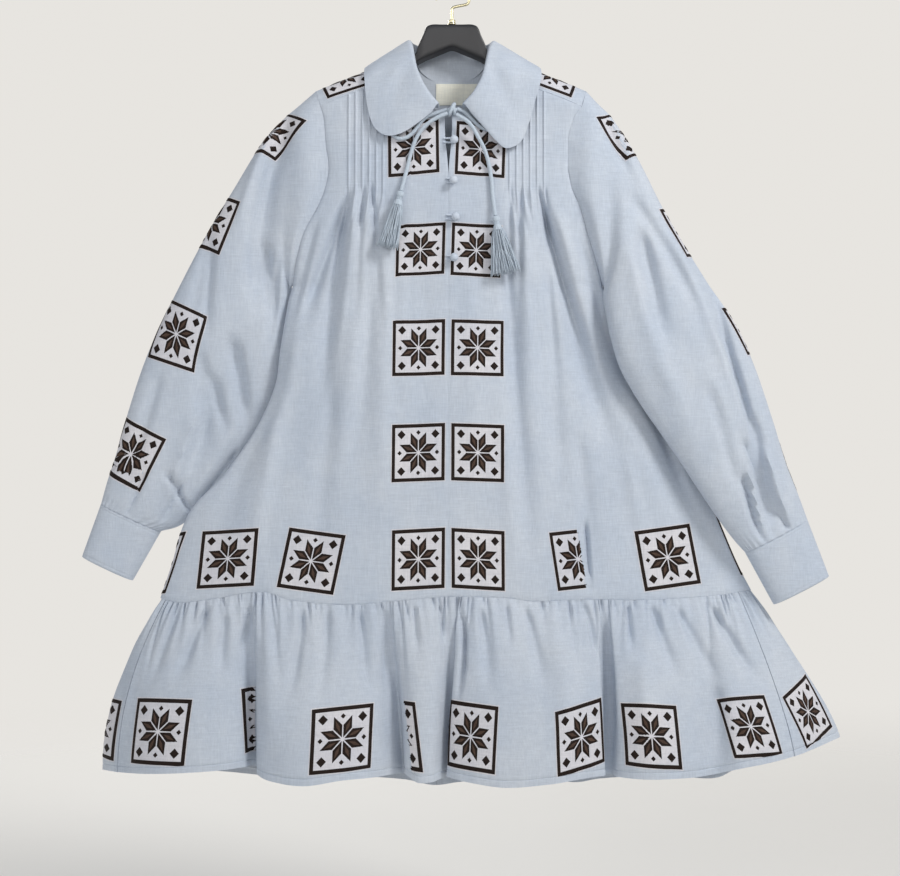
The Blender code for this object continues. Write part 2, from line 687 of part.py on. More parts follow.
def sleeve(name, side, table, folds):
    """A tube from the armhole through the sleeve's sections to the cuff seam."""
    def ring(position, shrink):
        points = []
        for k in range(SLEEVE_POINTS):
            angle = 2 * math.pi * k / SLEEVE_POINTS
            if position <= 0:
                points.append(armhole_point(side, angle, shrink))
                continue
            if position < 1:
                start = armhole_point(side, angle, shrink)
                end = section_point(table[0], angle, shrink)
                point = start.lerp(end, position)
                point.y *= 1.0 + 0.35 * math.sin(math.pi * position) * abs(math.sin(angle))
            else:
                index = min(int(position) - 1, len(table) - 2)
                row = blend_rows(table[index], table[index + 1], position - 1 - index)
                point = section_point(row, angle, shrink)
            front = max(0.0, math.sin(angle))
            fade = ease(position / 2.0) * ease((len(table) - position) / 2.0)
            point.y -= fold_depth(folds, point.x, point.z) * front * fade
            if position > len(table) - 1.6:
                point.y -= (0.9 if k % 2 else -0.9) * MM * math.copysign(1.0, math.sin(angle))
            points.append(point)
        return points

    stations = [0, 0.5, 1, 2, 3.2, 4.5, 6, 7.3, 8.6, 10, 11, 12, 13 - SEAM_GAP / (12 * MM)]
    outer = [ring(station, 0.0) for station in stations]
    inner = [ring(station, CLOTH) for station in stations]
    return wall(name, outer, inner, material("cloth", CLOTH_BLUE), tube=True)


def cuff(name, start, end):
    shares = (0.0, 0.5, 1.0)
    angles = [2 * math.pi * k / SLEEVE_POINTS for k in range(SLEEVE_POINTS)]
    thickness = 2.2 * MM

    def ring(share, shrink):
        return [section_point(blend_rows(start, end, share), angle, shrink) for angle in angles]

    outer = [ring(share, 0.0) for share in shares]
    inner = [ring(share, thickness) for share in shares]
    return wall(name, outer, inner, material("cloth", CLOTH_BLUE), tube=True)


# Ruffle: where each point of the hem is sewn to the body (its place round the body's
# hem, from -1 at the left edge to 1 at the right edge and on to 3 round the back),
# and where that point hangs at the bottom
RuffleRow = namedtuple("RuffleRow", "seam x y z")
RUFFLE_FRONT = [
    RuffleRow(-0.976, -401, -30, -955),
    RuffleRow(-0.93, -367, -60, -957),
    RuffleRow(-0.87, -320, -74, -956),
    RuffleRow(-0.80, -278, -70, -953),
    RuffleRow(-0.74, -250, -54, -949),
    RuffleRow(-0.715, -239, -35, -947),
    RuffleRow(-0.69, -229, -33, -950),
    RuffleRow(-0.672, -234, -55, -957),
    RuffleRow(-0.65, -218, -71, -966),
    RuffleRow(-0.57, -178, -84, -972),
    RuffleRow(-0.45, -132, -80, -965),
    RuffleRow(-0.33, -92, -62, -961),
    RuffleRow(-0.265, -68, -36, -957),
    RuffleRow(-0.235, -58, -22, -956),
    RuffleRow(-0.20, -56, -50, -958),
    RuffleRow(-0.16, -41, -66, -968),
    RuffleRow(-0.10, -24, -65, -967),
    RuffleRow(-0.05, -12, -47, -962),
    RuffleRow(-0.024, -3, -28, -960),
    RuffleRow(-0.007, 4, -29, -959),
    RuffleRow(0.008, -6, -53, -960),
    RuffleRow(0.05, 22, -73, -968),
    RuffleRow(0.14, 64, -84, -974),
    RuffleRow(0.29, 118, -84, -970),
    RuffleRow(0.40, 158, -73, -963),
    RuffleRow(0.452, 184, -58, -959),
    RuffleRow(0.472, 180, -35, -957),
    RuffleRow(0.488, 190, -32, -957),
    RuffleRow(0.508, 201, -56, -961),
    RuffleRow(0.60, 238, -72, -964),
    RuffleRow(0.72, 286, -66, -962),
    RuffleRow(0.81, 313, -52, -958),
    RuffleRow(0.86, 346, -62, -951),
    RuffleRow(0.905, 382, -56, -944),
    RuffleRow(0.949, 410.5, -40, -936),
]
RUFFLE_BACK = [
    RuffleRow(0.951, 411.5, -39, -936),
    RuffleRow(0.985, 441, -22, -924),
    RuffleRow(1.02, 465.6, 2, -913),
    RuffleRow(1.07, 440, 38, -930),
    RuffleRow(1.14, 395, 58, -948),
    RuffleRow(1.22, 345, 44, -960),
    RuffleRow(1.28, 318, 22, -966),
    RuffleRow(1.36, 282, 48, -970),
    RuffleRow(1.48, 230, 62, -972),
    RuffleRow(1.60, 180, 52, -973),
    RuffleRow(1.67, 150, 26, -972),
    RuffleRow(1.75, 118, 50, -973),
    RuffleRow(1.88, 62, 64, -975),
    RuffleRow(2.00, 6, 46, -976),
    RuffleRow(2.08, -22, 24, -975),
    RuffleRow(2.16, -56, 52, -974),
    RuffleRow(2.30, -112, 64, -973),
    RuffleRow(2.43, -168, 44, -971),
    RuffleRow(2.50, -196, 22, -970),
    RuffleRow(2.59, -232, 46, -968),
    RuffleRow(2.72, -290, 60, -965),
    RuffleRow(2.84, -345, 48, -960),
    RuffleRow(2.93, -394, 30, -956),
    RuffleRow(2.985, -418.8, 2, -952),
    RuffleRow(3.01, -412, -16, -953),
    RuffleRow(3.022, -402, -29.3, -955),
]
RUFFLE_LEVELS = (0.0, 0.08, 0.22, 0.5, 1.0)
FRONT_GATHERS = 44
BACK_GATHERS = 44
BACK_SPLIT = 50
SPLIT_GAP = 0.02
HEM_GAP = 0.7 * MM


def hem_loop(place):
    """A point of the body's hem and the way out of the cloth there."""
    share = place if place <= 1.0 else 2.0 - place
    share = max(-1.0, share)
    if place > 3.0:
        share = place - 4.0
    face = 1 if 1.0 < place <= 3.0 else -1
    hem = back_hem if face > 0 else body_hem
    z = hem(mix(left_edge(-745 * MM), right_edge(-745 * MM), (share + 1) / 2))
    x = mix(left_edge(z), right_edge(z), (share + 1) / 2)
    y = back_y(x, z) if face > 0 else front_y(x, z)
    if abs(share) > 0.999:
        y = middle_sheet(x, z)
    return Vector((x, y, z))


def gather_hash(number):
    """A fixed uneven value between nought and one for each gather."""
    return (math.sin(number * 12.9898) * 43758.5453) % 1.0


def ruffle_sheet(table):
    """A function that gives a ruffle's point from its way along and down."""
    hems = []
    for row in table:
        hem = Vector((row.x, row.y, row.z)) * MM
        if hem.y < 0:
            hem = seen(*hem)
        hems.append(hem)
    length = [0.0]
    for a, b in zip(hems, hems[1:]):
        length.append(length[-1] + (b - a).length)
    places = Smooth(list(zip(length, [row.seam for row in table])))
    hem_x = natural(length, [point.x for point in hems])
    hem_y = natural(length, [point.y for point in hems])
    hem_z = natural(length, [point.z for point in hems])
    total = length[-1]

    def point_at(share, down, gather):
        run = share * total
        seam = hem_loop(places(run))
        hem = Vector((hem_x(run), hem_y(run), hem_z(run)))
        left_bulge = ease((seam.x + 250 * MM) / (-90 * MM))
        power = 1.25 + 0.75 * left_bulge
        out = 1.0 - (1.0 - down) ** power
        deep = 1.0 - (1.0 - down) ** 1.5
        start_z = seam.z - HEM_GAP
        point = Vector((mix(seam.x, hem.x, out), mix(seam.y, hem.y, deep), mix(start_z, hem.z, down)))
        near_seam = ease((down + 0.03) / 0.1) * (1.0 - ease(down / (0.3 + 0.35 * gather_hash(gather[1]))))
        lift = gather[0] * (0.5 + 1.9 * near_seam) * MM * (1.0 - ease(down / 0.6))
        return point, lift

    return point_at


def natural(places, values):
    """A rounded curve through values that may turn back, with its ends left free."""
    slopes = []
    last = len(values) - 1
    for i in range(last + 1):
        low = max(i - 1, 0)
        high = min(i + 1, last)
        slopes.append((values[high] - values[low]) / (places[high] - places[low]))

    def read(at):
        i = clamp(bisect.bisect_right(places, at) - 1, 0, last - 1)
        width = places[i + 1] - places[i]
        t = clamp((at - places[i]) / width, 0.0, 1.0)
        rise = values[i + 1] - values[i]
        bend_in = slopes[i] * width - rise
        bend_out = rise - slopes[i + 1] * width
        return values[i] + t * rise + t * (1 - t) * ((1 - t) * bend_in + t * bend_out)

    return read


def ruffle(name, table, gathers, first, last):
    """A gathered wall from the first to the last of the sheet's columns."""
    point_at = ruffle_sheet(table)
    columns = 2 * gathers
    places = [float(c) for c in range(first, last + 1)]
    if first > 0:
        places[0] += SPLIT_GAP
    if last < columns:
        places[-1] -= SPLIT_GAP
    end = len(places) - 1
    outer = []
    inner = []
    for down in RUFFLE_LEVELS:
        smooth_line = [point_at(place / columns, down, (0.0, 0))[0] for place in places]
        out_line = []
        in_line = []
        for i in range(end + 1):
            c = first + i
            parity = 1.0 if c % 2 else -1.0
            if i in (0, end):
                parity = 0.0
            _, lift = point_at(c / columns, down, (parity, c // 2))
            along = smooth_line[min(i + 1, end)] - smooth_line[max(i - 1, 0)]
            way_in = Vector((-along.y, along.x, 0.0)).normalized()
            out_line.append(smooth_line[i] - way_in * lift)
            in_line.append(smooth_line[i] + way_in * (CLOTH - lift))
        outer.append(out_line)
        inner.append(in_line)
    return wall(name, outer, inner, material("cloth", CLOTH_BLUE))


# Collar: the neck seam, the roll and the leaf's edge at each station round the neck,
# and how far the leaf's middle stands off the cloth under it
CollarRow = namedtuple(
    "CollarRow", "neck_x neck_y neck_z roll_x roll_y roll_z edge_x edge_y edge_z lift")
COLLAR = [
    CollarRow(-15.5, -27, -163.6, -17.5, -36, -160.5, -24.0, -34, -169.5, 8.0),
    CollarRow(-23.0, -27, -160.6, -23.0, -37, -153.5, -40.0, -34, -182.5, 8.0),
    CollarRow(-30.0, -26, -155.0, -28.0, -37, -147.0, -59.0, -34, -194.5, 8.0),
    CollarRow(-37.0, -25, -146.5, -33.5, -36, -138.0, -74.0, -34, -197.8, 8.0),
    CollarRow(-43.6, -23, -135.0, -38.5, -34, -127.5, -86.0, -34, -193.0, 6.8),
    CollarRow(-47.4, -21, -124.0, -43.0, -30, -115.0, -95.0, -32, -181.0, 5.2),
    CollarRow(-48.2, -17, -112.0, -46.5, -23, -100.0, -101.0, -28, -156.0, 4.8),
    CollarRow(-47.5, -9, -97.2, -49.5, -12, -86.0, -103.5, -18, -130.0, 4.6),
    CollarRow(-47.4, 0, -92.3, -52.0, 0, -77.5, -103.7, 0, -111.0, 4.2),
    CollarRow(-46.0, 9, -94.4, -49.0, 13, -78.0, -99.0, 14, -120.0, 4.2),
    CollarRow(-40.0, 18, -105.5, -40.0, 21, -80.0, -82.0, 24, -140.0, 3.4),
    CollarRow(-28.5, 20, -115.8, -27.0, 25, -82.0, -56.0, 28, -153.0, 3.6),
    CollarRow(-14.5, 21, -121.0, -14.0, 27, -83.0, -28.0, 29, -158.0, 3.6),
    CollarRow(-1.2, 21, -122.4, -1.2, 27.5, -83.5, -1.2, 29, -158.5, 3.6),
    CollarRow(12.1, 21, -121.0, 11.6, 27, -83.0, 25.6, 29, -158.0, 3.6),
    CollarRow(26.1, 20, -115.8, 24.6, 25, -82.0, 53.6, 28, -153.0, 3.6),
    CollarRow(37.6, 18, -105.5, 37.6, 21, -80.0, 80.0, 24, -140.0, 3.4),
    CollarRow(43.6, 9, -94.4, 46.6, 13, -78.5, 98.5, 14, -120.0, 5.2),
    CollarRow(45.0, 0, -92.3, 50.5, 0, -78.5, 104.3, 0, -112.0, 5.4),
    CollarRow(45.1, -9, -97.2, 46.5, -12, -87.0, 104.0, -18, -132.0, 5.8),
    CollarRow(45.8, -17, -112.0, 43.0, -23, -100.0, 100.5, -28, -154.0, 5.6),
    CollarRow(45.0, -21, -124.0, 39.5, -30, -115.0, 92.0, -32, -184.0, 5.2),
    CollarRow(41.2, -23, -135.0, 36.0, -34, -127.5, 80.5, -34, -205.0, 6.8),
    CollarRow(34.6, -25, -146.5, 31.0, -36, -138.0, 66.5, -34, -212.5, 8.0),
    CollarRow(27.6, -26, -155.0, 25.5, -37, -147.5, 53.0, -34, -205.0, 8.0),
    CollarRow(20.6, -27, -160.6, 20.0, -37, -154.0, 39.0, -34, -189.5, 8.0),
    CollarRow(13.1, -27, -163.6, 14.5, -36, -160.5, 24.0, -34, -172.0, 8.0),
]
COLLAR_THICKNESS = 2.0 * MM
ROLL = 2.4 * MM
NECK_CENTRE = Vector((SHOULDER_CENTRE, 0.0, -110.0 * MM))


def outside_measure(point):
    """Nought on the body's outer face and more outside it, closed over the shoulders."""
    front = point.y < middle_sheet(point.x, point.z)
    below = shoulder_line(abs(point.x - SHOULDER_CENTRE)) - point.z
    z = min(point.z, point.z + below - SHOULDER_ROUND)
    middle = middle_sheet(point.x, z)
    full = (middle - front_y(point.x, z)) if front else (back_y(point.x, z) - middle)
    lip = max(0.0, 1.0 - below / SHOULDER_ROUND)
    return ((point.y - middle) / full) ** 2 + lip * lip - 1.0


def push_out(point, lift, always):
    """The point moved off the body until it lies lift away from its outer face."""
    step = 0.3 * MM
    for _ in range(4):
        here = outside_measure(point)
        slope = Vector([
            (outside_measure(point + Vector(axis) * step) - here) / step
            for axis in ((1, 0, 0), (0, 1, 0), (0, 0, 1))
        ])
        away = here / slope.length
        if away >= lift and not always:
            return point
        point = point + slope.normalized() * (lift - away)
    return point


def collar_section(row):
    """The middle line of the collar at a station, from the neck seam to the leaf's edge."""
    neck = Vector((row.neck_x, row.neck_y, row.neck_z)) * MM
    roll = Vector((row.roll_x, row.roll_y, row.roll_z)) * MM
    edge = push_out(Vector((row.edge_x, row.edge_y, row.edge_z)) * MM, row.lift * MM, True)
    stand = (roll - neck).normalized()
    fall = (edge - roll).normalized()
    away = Vector((roll.x - NECK_CENTRE.x, roll.y, 0.0)).normalized()
    outward = fall - stand * fall.dot(stand) + away * 0.35
    outward -= stand * outward.dot(stand)
    outward.normalize()
    inner_side = roll - stand * ROLL - outward * ROLL * 0.9
    outer_side = roll + (outward + fall) * ROLL * 0.85
    line = [neck, inner_side, roll, outer_side]
    for share in (0.35, 0.7):
        line.append(push_out(outer_side.lerp(edge, share), row.lift * MM * mix(1.25, 1.0, share), False))
    line.append(edge)
    return line


def collar():
    lines = [collar_section(row) for row in COLLAR]
    half = COLLAR_THICKNESS / 2
    outer = []
    inner = []
    count = len(lines[0])
    for r in range(len(lines)):
        out_line = []
        in_line = []
        for c in range(count):
            ahead = lines[min(r + 1, len(lines) - 1)][c] - lines[max(r - 1, 0)][c]
            across = lines[r][min(c + 1, count - 1)] - lines[r][max(c - 1, 0)]
            side = ahead.cross(across)
            side.normalize()
            out_line.append(lines[r][c] + side * half)
            in_line.append(lines[r][c] - side * half)
        outer.append(out_line)
        inner.append(in_line)
    return wall("collar", outer, inner, material("cloth", CLOTH_BLUE))


def label():
    """The bare neck label, on the inside of the back yoke."""
    width = 51.6 * MM
    height = 25.8 * MM
    thickness = 0.8 * MM
    centre = 6.6 * MM
    top = -123.2 * MM
    outer = []
    inner = []
    for r in range(4):
        z = top - height * r / 3
        out_line = []
        in_line = []
        for c in range(5):
            x = centre + width * (c / 4 - 0.5)
            y = back_y(x, z) - CLOTH - SEAM_GAP - 0.25 * MM
            out_line.append(Vector((x, y, z)))
            in_line.append(Vector((x, y - thickness, z)))
        outer.append(out_line)
        inner.append(in_line)
    return wall("label", outer, inner, material("label_cream", LABEL_CREAM))


# Buttons, loops, tie and tassels
Button = namedtuple("Button", "x z")
BUTTONS = [
    Button(2.9, -201.9),
    Button(1.8, -250.0),
    Button(4.1, -293.4),
    Button(2.4, -341.4),
]
BUTTON_RADIUS = 4.4 * MM
SHANK_RADIUS = 1.3 * MM
SHANK_HEIGHT = 2.2 * MM
LOOP_RADIUS = 0.9 * MM
BUTTON_GAP = 0.35 * MM


def button(number, place):
    x = place.x * MM
    z = place.z * MM
    if x < CENTRE_FRONT + SLIT_HALF_WIDTH + 4 * MM and z > SLIT_END_Z:
        x = CENTRE_FRONT + slit(z) + SHANK_RADIUS + 2.0 * MM
    face = front_y(x, z) - BUTTON_GAP
    centre = face - SHANK_HEIGHT - BUTTON_RADIUS
    profile = [(0.0, SHANK_RADIUS), (SHANK_HEIGHT * 1.05, SHANK_RADIUS)]
    for step in range(1, 5):
        angle = math.pi * step / 5
        profile.append((SHANK_HEIGHT + BUTTON_RADIUS * (1 - math.cos(angle)),
                        BUTTON_RADIUS * math.sin(angle)))
    profile.append((face - centre + BUTTON_RADIUS - 0.05 * MM, 0.6 * MM))
    rings = []
    for depth, radius in profile:
        ring = []
        for k in range(8):
            angle = 2 * math.pi * k / 8
            ring.append(Vector((x + radius * math.cos(angle), face - depth, z + radius * math.sin(angle))))
        rings.append(ring)
    return solid_rings("button_%d" % number, rings, material("cloth", CLOTH_BLUE))


def tube(name, points, radius, resolution, made):
    """A round tube along points, with filled ends."""
    curve = bpy.data.curves.new(name, "CURVE")
    curve.dimensions = "3D"
    curve.bevel_depth = radius
    curve.bevel_resolution = resolution
    curve.use_fill_caps = True
    spline = curve.splines.new("POLY")
    spline.points.add(len(points) - 1)
    for target, point in zip(spline.points, points):
        target.co = (*point, 1.0)
    spline.use_smooth = True
    curve.materials.append(made)
    item = bpy.data.objects.new(name, curve)
    bpy.context.scene.collection.objects.link(item)
    return item


def loop(number, place):
    """A rouleau loop from the left front's edge round the button's shank."""
    x = place.x * MM
    z = place.z * MM
    if x < CENTRE_FRONT + SLIT_HALF_WIDTH + 4 * MM and z > SLIT_END_Z:
        x = CENTRE_FRONT + slit(z) + SHANK_RADIUS + 2.0 * MM
    around = SHANK_RADIUS + LOOP_RADIUS + 0.25 * MM
    start = CENTRE_FRONT - slit(z) - 6.0 * MM
    route = [Vector((start, 0, z + around)), Vector((mix(start, x, 0.5), 0, z + around))]
    for step in range(5):
        angle = math.pi / 2 - math.pi * step / 4
        route.append(Vector((x + around * math.cos(angle), 0, z + around * math.sin(angle))))
    route += [Vector((mix(start, x, 0.5), 0, z - around)), Vector((start, 0, z - around))]
    for point in route:
        point.y = min(front_y(start, z), front_y(x, z)) - LOOP_RADIUS - BUTTON_GAP
    return tube("loop_%d" % number, route, LOOP_RADIUS, 1, material("cloth", CLOTH_BLUE))


CORD_RADIUS = 2.4 * MM
# The tie's routes: x, z and the lift of the cord's middle off the front
TiePoint = namedtuple("TiePoint", "x z lift")
TAIL_LEFT = [
    TiePoint(-5.3, -171.5, 11.2), TiePoint(-14.4, -175.0, 11.0), TiePoint(-30.0, -184.6, 9.0),
    TiePoint(-41.0, -198.0, 6.0), TiePoint(-48.0, -215.8, 3.2), TiePoint(-54.0, -239.8, 3.5),
    TiePoint(-60.0, -263.0, 7.0),
]
TAIL_RIGHT = [
    TiePoint(5.0, -172.8, 11.0), TiePoint(20.4, -183.4, 12.5), TiePoint(31.2, -200.2, 10.0),
    TiePoint(39.6, -217.0, 6.0), TiePoint(45.6, -242.2, 3.2), TiePoint(48.0, -268.6, 3.5),
    TiePoint(51.0, -292.0, 7.0),
]
RUN_LEFT = [
    TiePoint(-5.8, -166.0, 6.2), TiePoint(-14.0, -168.5, 4.6), TiePoint(-25.0, -172.0, 4.0),
    TiePoint(-34.0, -177.0, 3.4), TiePoint(-41.0, -187.0, 3.2), TiePoint(-50.0, -196.5, 3.2),
    TiePoint(-60.0, -200.6, 3.2), TiePoint(-70.0, -196.0, 3.2),
]
RUN_RIGHT = [
    TiePoint(5.6, -165.0, 6.2), TiePoint(13.0, -167.5, 4.6), TiePoint(22.0, -175.5, 3.6),
    TiePoint(34.0, -186.5, 3.2), TiePoint(46.0, -190.0, 3.2),
]
# The tassels' tips and half their spread at the tip
Tassel = namedtuple("Tassel", "side x z half_spread")
TASSELS = [Tassel("left", -76.0, -331.0, 13.0), Tassel("right", 63.5, -362.0, 19.0)]
TASSEL_STAND_OFF = 8.5 * MM
TASSEL_GAP = 0.35 * MM
STRANDS_ROUND = 10
KNOT_X = 0.3 * MM
KNOT_Z = -166.6 * MM
KNOT_HALF = (4.6 * MM, 4.6 * MM, 8.2 * MM)


def tie_route(points, spacing=9.0 * MM):
    """Points at even steps along a smooth curve through the route."""
    where = [Vector((p.x * MM, front_y(p.x * MM, p.z * MM) - p.lift * MM, p.z * MM)) for p in points]
    length = [0.0]
    for a, b in zip(where, where[1:]):
        length.append(length[-1] + (b - a).length)
    curves = [natural(length, [point[axis] for point in where]) for axis in range(3)]
    steps = max(3, round(length[-1] / spacing))
    return [Vector([curve(length[-1] * step / steps) for curve in curves]) for step in range(steps + 1)]


def tie_knot():
    middle = front_y(-14 * MM, KNOT_Z) - 7.6 * MM
    rings = []
    for step in range(1, 8):
        angle = math.pi * step / 8
        ring = []
        for k in range(10):
            turn = 2 * math.pi * k / 10
            ring.append(Vector((KNOT_X + KNOT_HALF[0] * math.sin(angle) * math.cos(turn),
                                middle + KNOT_HALF[1] * math.sin(angle) * math.sin(turn),
                                KNOT_Z + KNOT_HALF[2] * math.cos(angle))))
        rings.append(ring)
    return solid_rings("tie_knot", rings, material("cord", CORD_BLUE))


def tassel(name, top, tip, half_spread):
    """A bound head whose underside is drawn out into strands, one closed solid."""
    axis = (tip - top).normalized()
    across = Vector((1, 0, 0)) - axis * axis.x
    across.normalize()
    deep = axis.cross(across)
    head_length = 17.0 * MM
    profile = [(0.0, 2.2), (1.2, 3.6), (4.0, 4.7), (7.0, 4.0), (8.5, 3.4), (10.0, 4.0), (13.5, 5.2), (17.0, 5.6)]
    mesh = bmesh.new()
    layers = []
    for distance, radius in profile:
        ring = []
        for k in range(STRANDS_ROUND):
            turn = 2 * math.pi * k / STRANDS_ROUND
            place = top + axis * distance * MM
            place += (across * math.cos(turn) + deep * math.sin(turn)) * radius * MM
            ring.append(mesh.verts.new(place))
        layers.append(ring)
    for share in (0.66, 0.3):
        ring = []
        for k in range(STRANDS_ROUND):
            centre = top + axis * head_length
            ring.append(mesh.verts.new(centre.lerp(layers[len(profile) - 1][k].co, share)))
        layers.append(ring)
    mesh.faces.new(list(reversed(layers[0])))
    patches = []
    for index, (low, high) in enumerate(zip(layers, layers[1:])):
        for k in range(STRANDS_ROUND):
            d = (k + 1) % STRANDS_ROUND
            face = mesh.faces.new((low[k], low[d], high[d], high[k]))
            if index >= len(profile) - 1:
                patches.append(face)
    mesh.faces.new(layers[-1])
    bmesh.ops.recalc_face_normals(mesh, faces=mesh.faces)
    span = (tip - top).length - head_length
    inset_faces = bmesh.ops.inset_individual(mesh, faces=patches, thickness=0.22 * MM)
    for number, face in enumerate(patches):
        start = face.calc_center_median()
        offset = start - (top + axis * head_length)
        aside = offset.dot(across) / (5.6 * MM)
        forward = offset.dot(deep) / (5.6 * MM)
        reach = span * (0.94 + 0.06 * gather_hash(number + 3))
        for share in (0.5, 1.0):
            made = bmesh.ops.extrude_discrete_faces(mesh, faces=[face])
            face = made["faces"][0]
            bow = share ** 0.8
            target = start + axis * reach * share
            target += across * (aside * half_spread - offset.dot(across)) * bow
            target += deep * (forward * 7.0 * MM - offset.dot(deep)) * bow
            shift = target - face.calc_center_median()
            bmesh.ops.translate(mesh, verts=face.verts, vec=shift)
    return add_object(name, mesh, material("cord", CORD_BLUE))


# Hanger: the body's top and bottom edges against the distance from the hook
HangerRow = namedtuple("HangerRow", "x top bottom depth")
HANGER = [
    HangerRow(0, -58.6, -85.8, 7.0),
    HangerRow(12, -58.6, -90.0, 7.0),
    HangerRow(24, -58.6, -95.0, 7.0),
    HangerRow(30.5, -60.2, -97.6, 7.0),
    HangerRow(35, -67.0, -99.8, 7.0),
    HangerRow(38.5, -77.0, -101.6, 6.8),
    HangerRow(41, -90.0, -103.0, 6.6),
    HangerRow(43.5, -98.5, -104.6, 6.4),
    HangerRow(53, -95.0, -108.6, 6.6),
    HangerRow(85, -106.0, -122.0, 7.2),
    HangerRow(120, -120.0, -138.5, 8.4),
    HangerRow(143, -129.0, -149.0, 9.0),
    HangerRow(151, -136.0, -150.5, 7.0),
    HangerRow(154, -140.0, -148.5, 3.0),
]


ARM_ARCH = 15.0 * MM


def hanger_body():
    rows = [row._replace(x=-row.x) for row in reversed(HANGER[1:])] + HANGER
    rings = []
    for row in rows:
        middle = (row.top + row.bottom) / 2
        half = (row.top - row.bottom) / 2
        ring = []
        for k in range(10):
            angle = 2 * math.pi * (k + 0.5) / 10
            deep = math.copysign(abs(math.cos(angle)) ** 0.6, math.cos(angle))
            high = math.copysign(abs(math.sin(angle)) ** 0.6, math.sin(angle))
            y = row.depth * MM * deep
            z = (middle + half * high) * MM
            if abs(row.x) > 46.5:
                under = shoulder_line(abs(row.x * MM - SHOULDER_CENTRE)) - CLOTH - 0.7 * MM
                arch = SHOULDER_ROUND * (1.0 - math.sqrt(1.0 - (y / ARM_ARCH) ** 2))
                z = min(z, under - arch)
            ring.append(Vector((row.x * MM, y, z)))
        rings.append(ring)
    return solid_rings("hanger_body", rings, material("hanger_black", HANGER_BLACK))


def hanger_ferrule():
    rings = []
    for z, radius in ((-58.2, 4.6), (-57.4, 4.8), (-53.4, 4.4), (-52.6, 3.6)):
        rings.append([Vector((radius * MM * math.cos(2 * math.pi * k / 16),
                              radius * MM * math.sin(2 * math.pi * k / 16), z * MM)) for k in range(16)])
    return solid_rings("hanger_ferrule", rings, material("hook_gold", HOOK_GOLD))


def hanger_hook():
    """Stem, side bend and arc; the arc's underside passes through the origin."""
    wire = 1.75 * MM
    arc = 20.4 * MM
    centre_z = wire - arc
    points = [Vector((0, 0, z * MM)) for z in (-52.2, -47.0, -42.0, -39.6)]
    points += [Vector((x * MM, 0, z * MM)) for x, z in ((1.0, -37.9), (3.0, -36.9), (8.0, -35.7), (14.0, -34.6),
                                                       (17.8, -33.6), (19.8, -31.4), (20.4, -28.0))]
    for step in range(17):
        angle = math.radians(-8 + 13.5 * step)
        points.append(Vector((arc * math.cos(angle), 0, centre_z + arc * math.sin(angle))))
    return tube("hanger_hook", points, wire, 2, material("hook_gold", HOOK_GOLD))


def tie():
    """The neck tie: two runs under the collar, the knot and two tails with tassels."""
    made = material("cord", CORD_BLUE)
    for name, route in (("tie_run_left", RUN_LEFT), ("tie_run_right", RUN_RIGHT)):
        tube(name, tie_route(route), CORD_RADIUS, 2, made)
    tie_knot()
    for hung in TASSELS:
        points = tie_route(TAIL_LEFT if hung.side == "left" else TAIL_RIGHT)
        tube("tie_tail_" + hung.side, points, CORD_RADIUS, 2, made)
        last = points[-1]
        under = []
        for aside in (-18, -9, 0, 9, 18):
            for z in (-285, -305, -325, -345):
                under.append(front_y((hung.x + aside) * MM, z * MM))
        tip = Vector((hung.x * MM, min(under) - TASSEL_STAND_OFF, hung.z * MM))
        top = last + (tip - last).normalized() * TASSEL_GAP
        tassel("tassel_" + hung.side, top, tip, hung.half_spread * MM)


def build():
    for item in list(bpy.data.objects):
        bpy.data.objects.remove(item, do_unlink=True)
    hanger_body()
    hanger_ferrule()
    hanger_hook()
    yoke()
    front_panel("front_left", -1)
    front_panel("front_right", 1)
    back_panel()
    sleeve("sleeve_left", -1, SLEEVE_LEFT, LEFT_SLEEVE_FOLDS)
    sleeve("sleeve_right", 1, SLEEVE_RIGHT, RIGHT_SLEEVE_FOLDS)
    cuff("cuff_left", SLEEVE_LEFT[-1], CUFF_END_LEFT)
    cuff("cuff_right", SLEEVE_RIGHT[-1], CUFF_END_RIGHT)
    ruffle("ruffle_front", RUFFLE_FRONT, FRONT_GATHERS, 0, 2 * FRONT_GATHERS)
    ruffle("ruffle_back_right", RUFFLE_BACK, BACK_GATHERS, 0, BACK_SPLIT)
    ruffle("ruffle_back_left", RUFFLE_BACK, BACK_GATHERS, BACK_SPLIT, 2 * BACK_GATHERS)
    collar()
    label()
    for number, place in enumerate(BUTTONS, 1):
        button(number, place)
        loop(number, place)
    tie()


build()
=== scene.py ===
# The dressed scene of the ruffle dress: fine cloth shells, embroidery, tie, tassels and hanger.
# Metres, +Z up, the front faces -Y. Tables hold real sizes in millimetres.
import bisect
import math
from collections import namedtuple

import bmesh
import bpy
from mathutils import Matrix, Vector, noise
from mathutils.bvhtree import BVHTree


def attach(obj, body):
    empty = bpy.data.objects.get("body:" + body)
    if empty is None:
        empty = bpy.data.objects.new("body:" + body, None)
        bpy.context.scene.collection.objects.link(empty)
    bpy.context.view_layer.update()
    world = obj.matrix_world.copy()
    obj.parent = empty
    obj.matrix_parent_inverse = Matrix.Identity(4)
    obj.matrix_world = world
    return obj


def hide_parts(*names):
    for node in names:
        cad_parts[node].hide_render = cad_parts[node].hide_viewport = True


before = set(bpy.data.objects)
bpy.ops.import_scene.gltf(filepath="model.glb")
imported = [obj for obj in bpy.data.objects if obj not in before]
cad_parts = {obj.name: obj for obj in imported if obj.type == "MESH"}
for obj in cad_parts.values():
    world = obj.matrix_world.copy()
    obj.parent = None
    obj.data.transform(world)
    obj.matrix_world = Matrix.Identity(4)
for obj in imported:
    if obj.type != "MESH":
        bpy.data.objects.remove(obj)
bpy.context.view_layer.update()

MM = 0.001

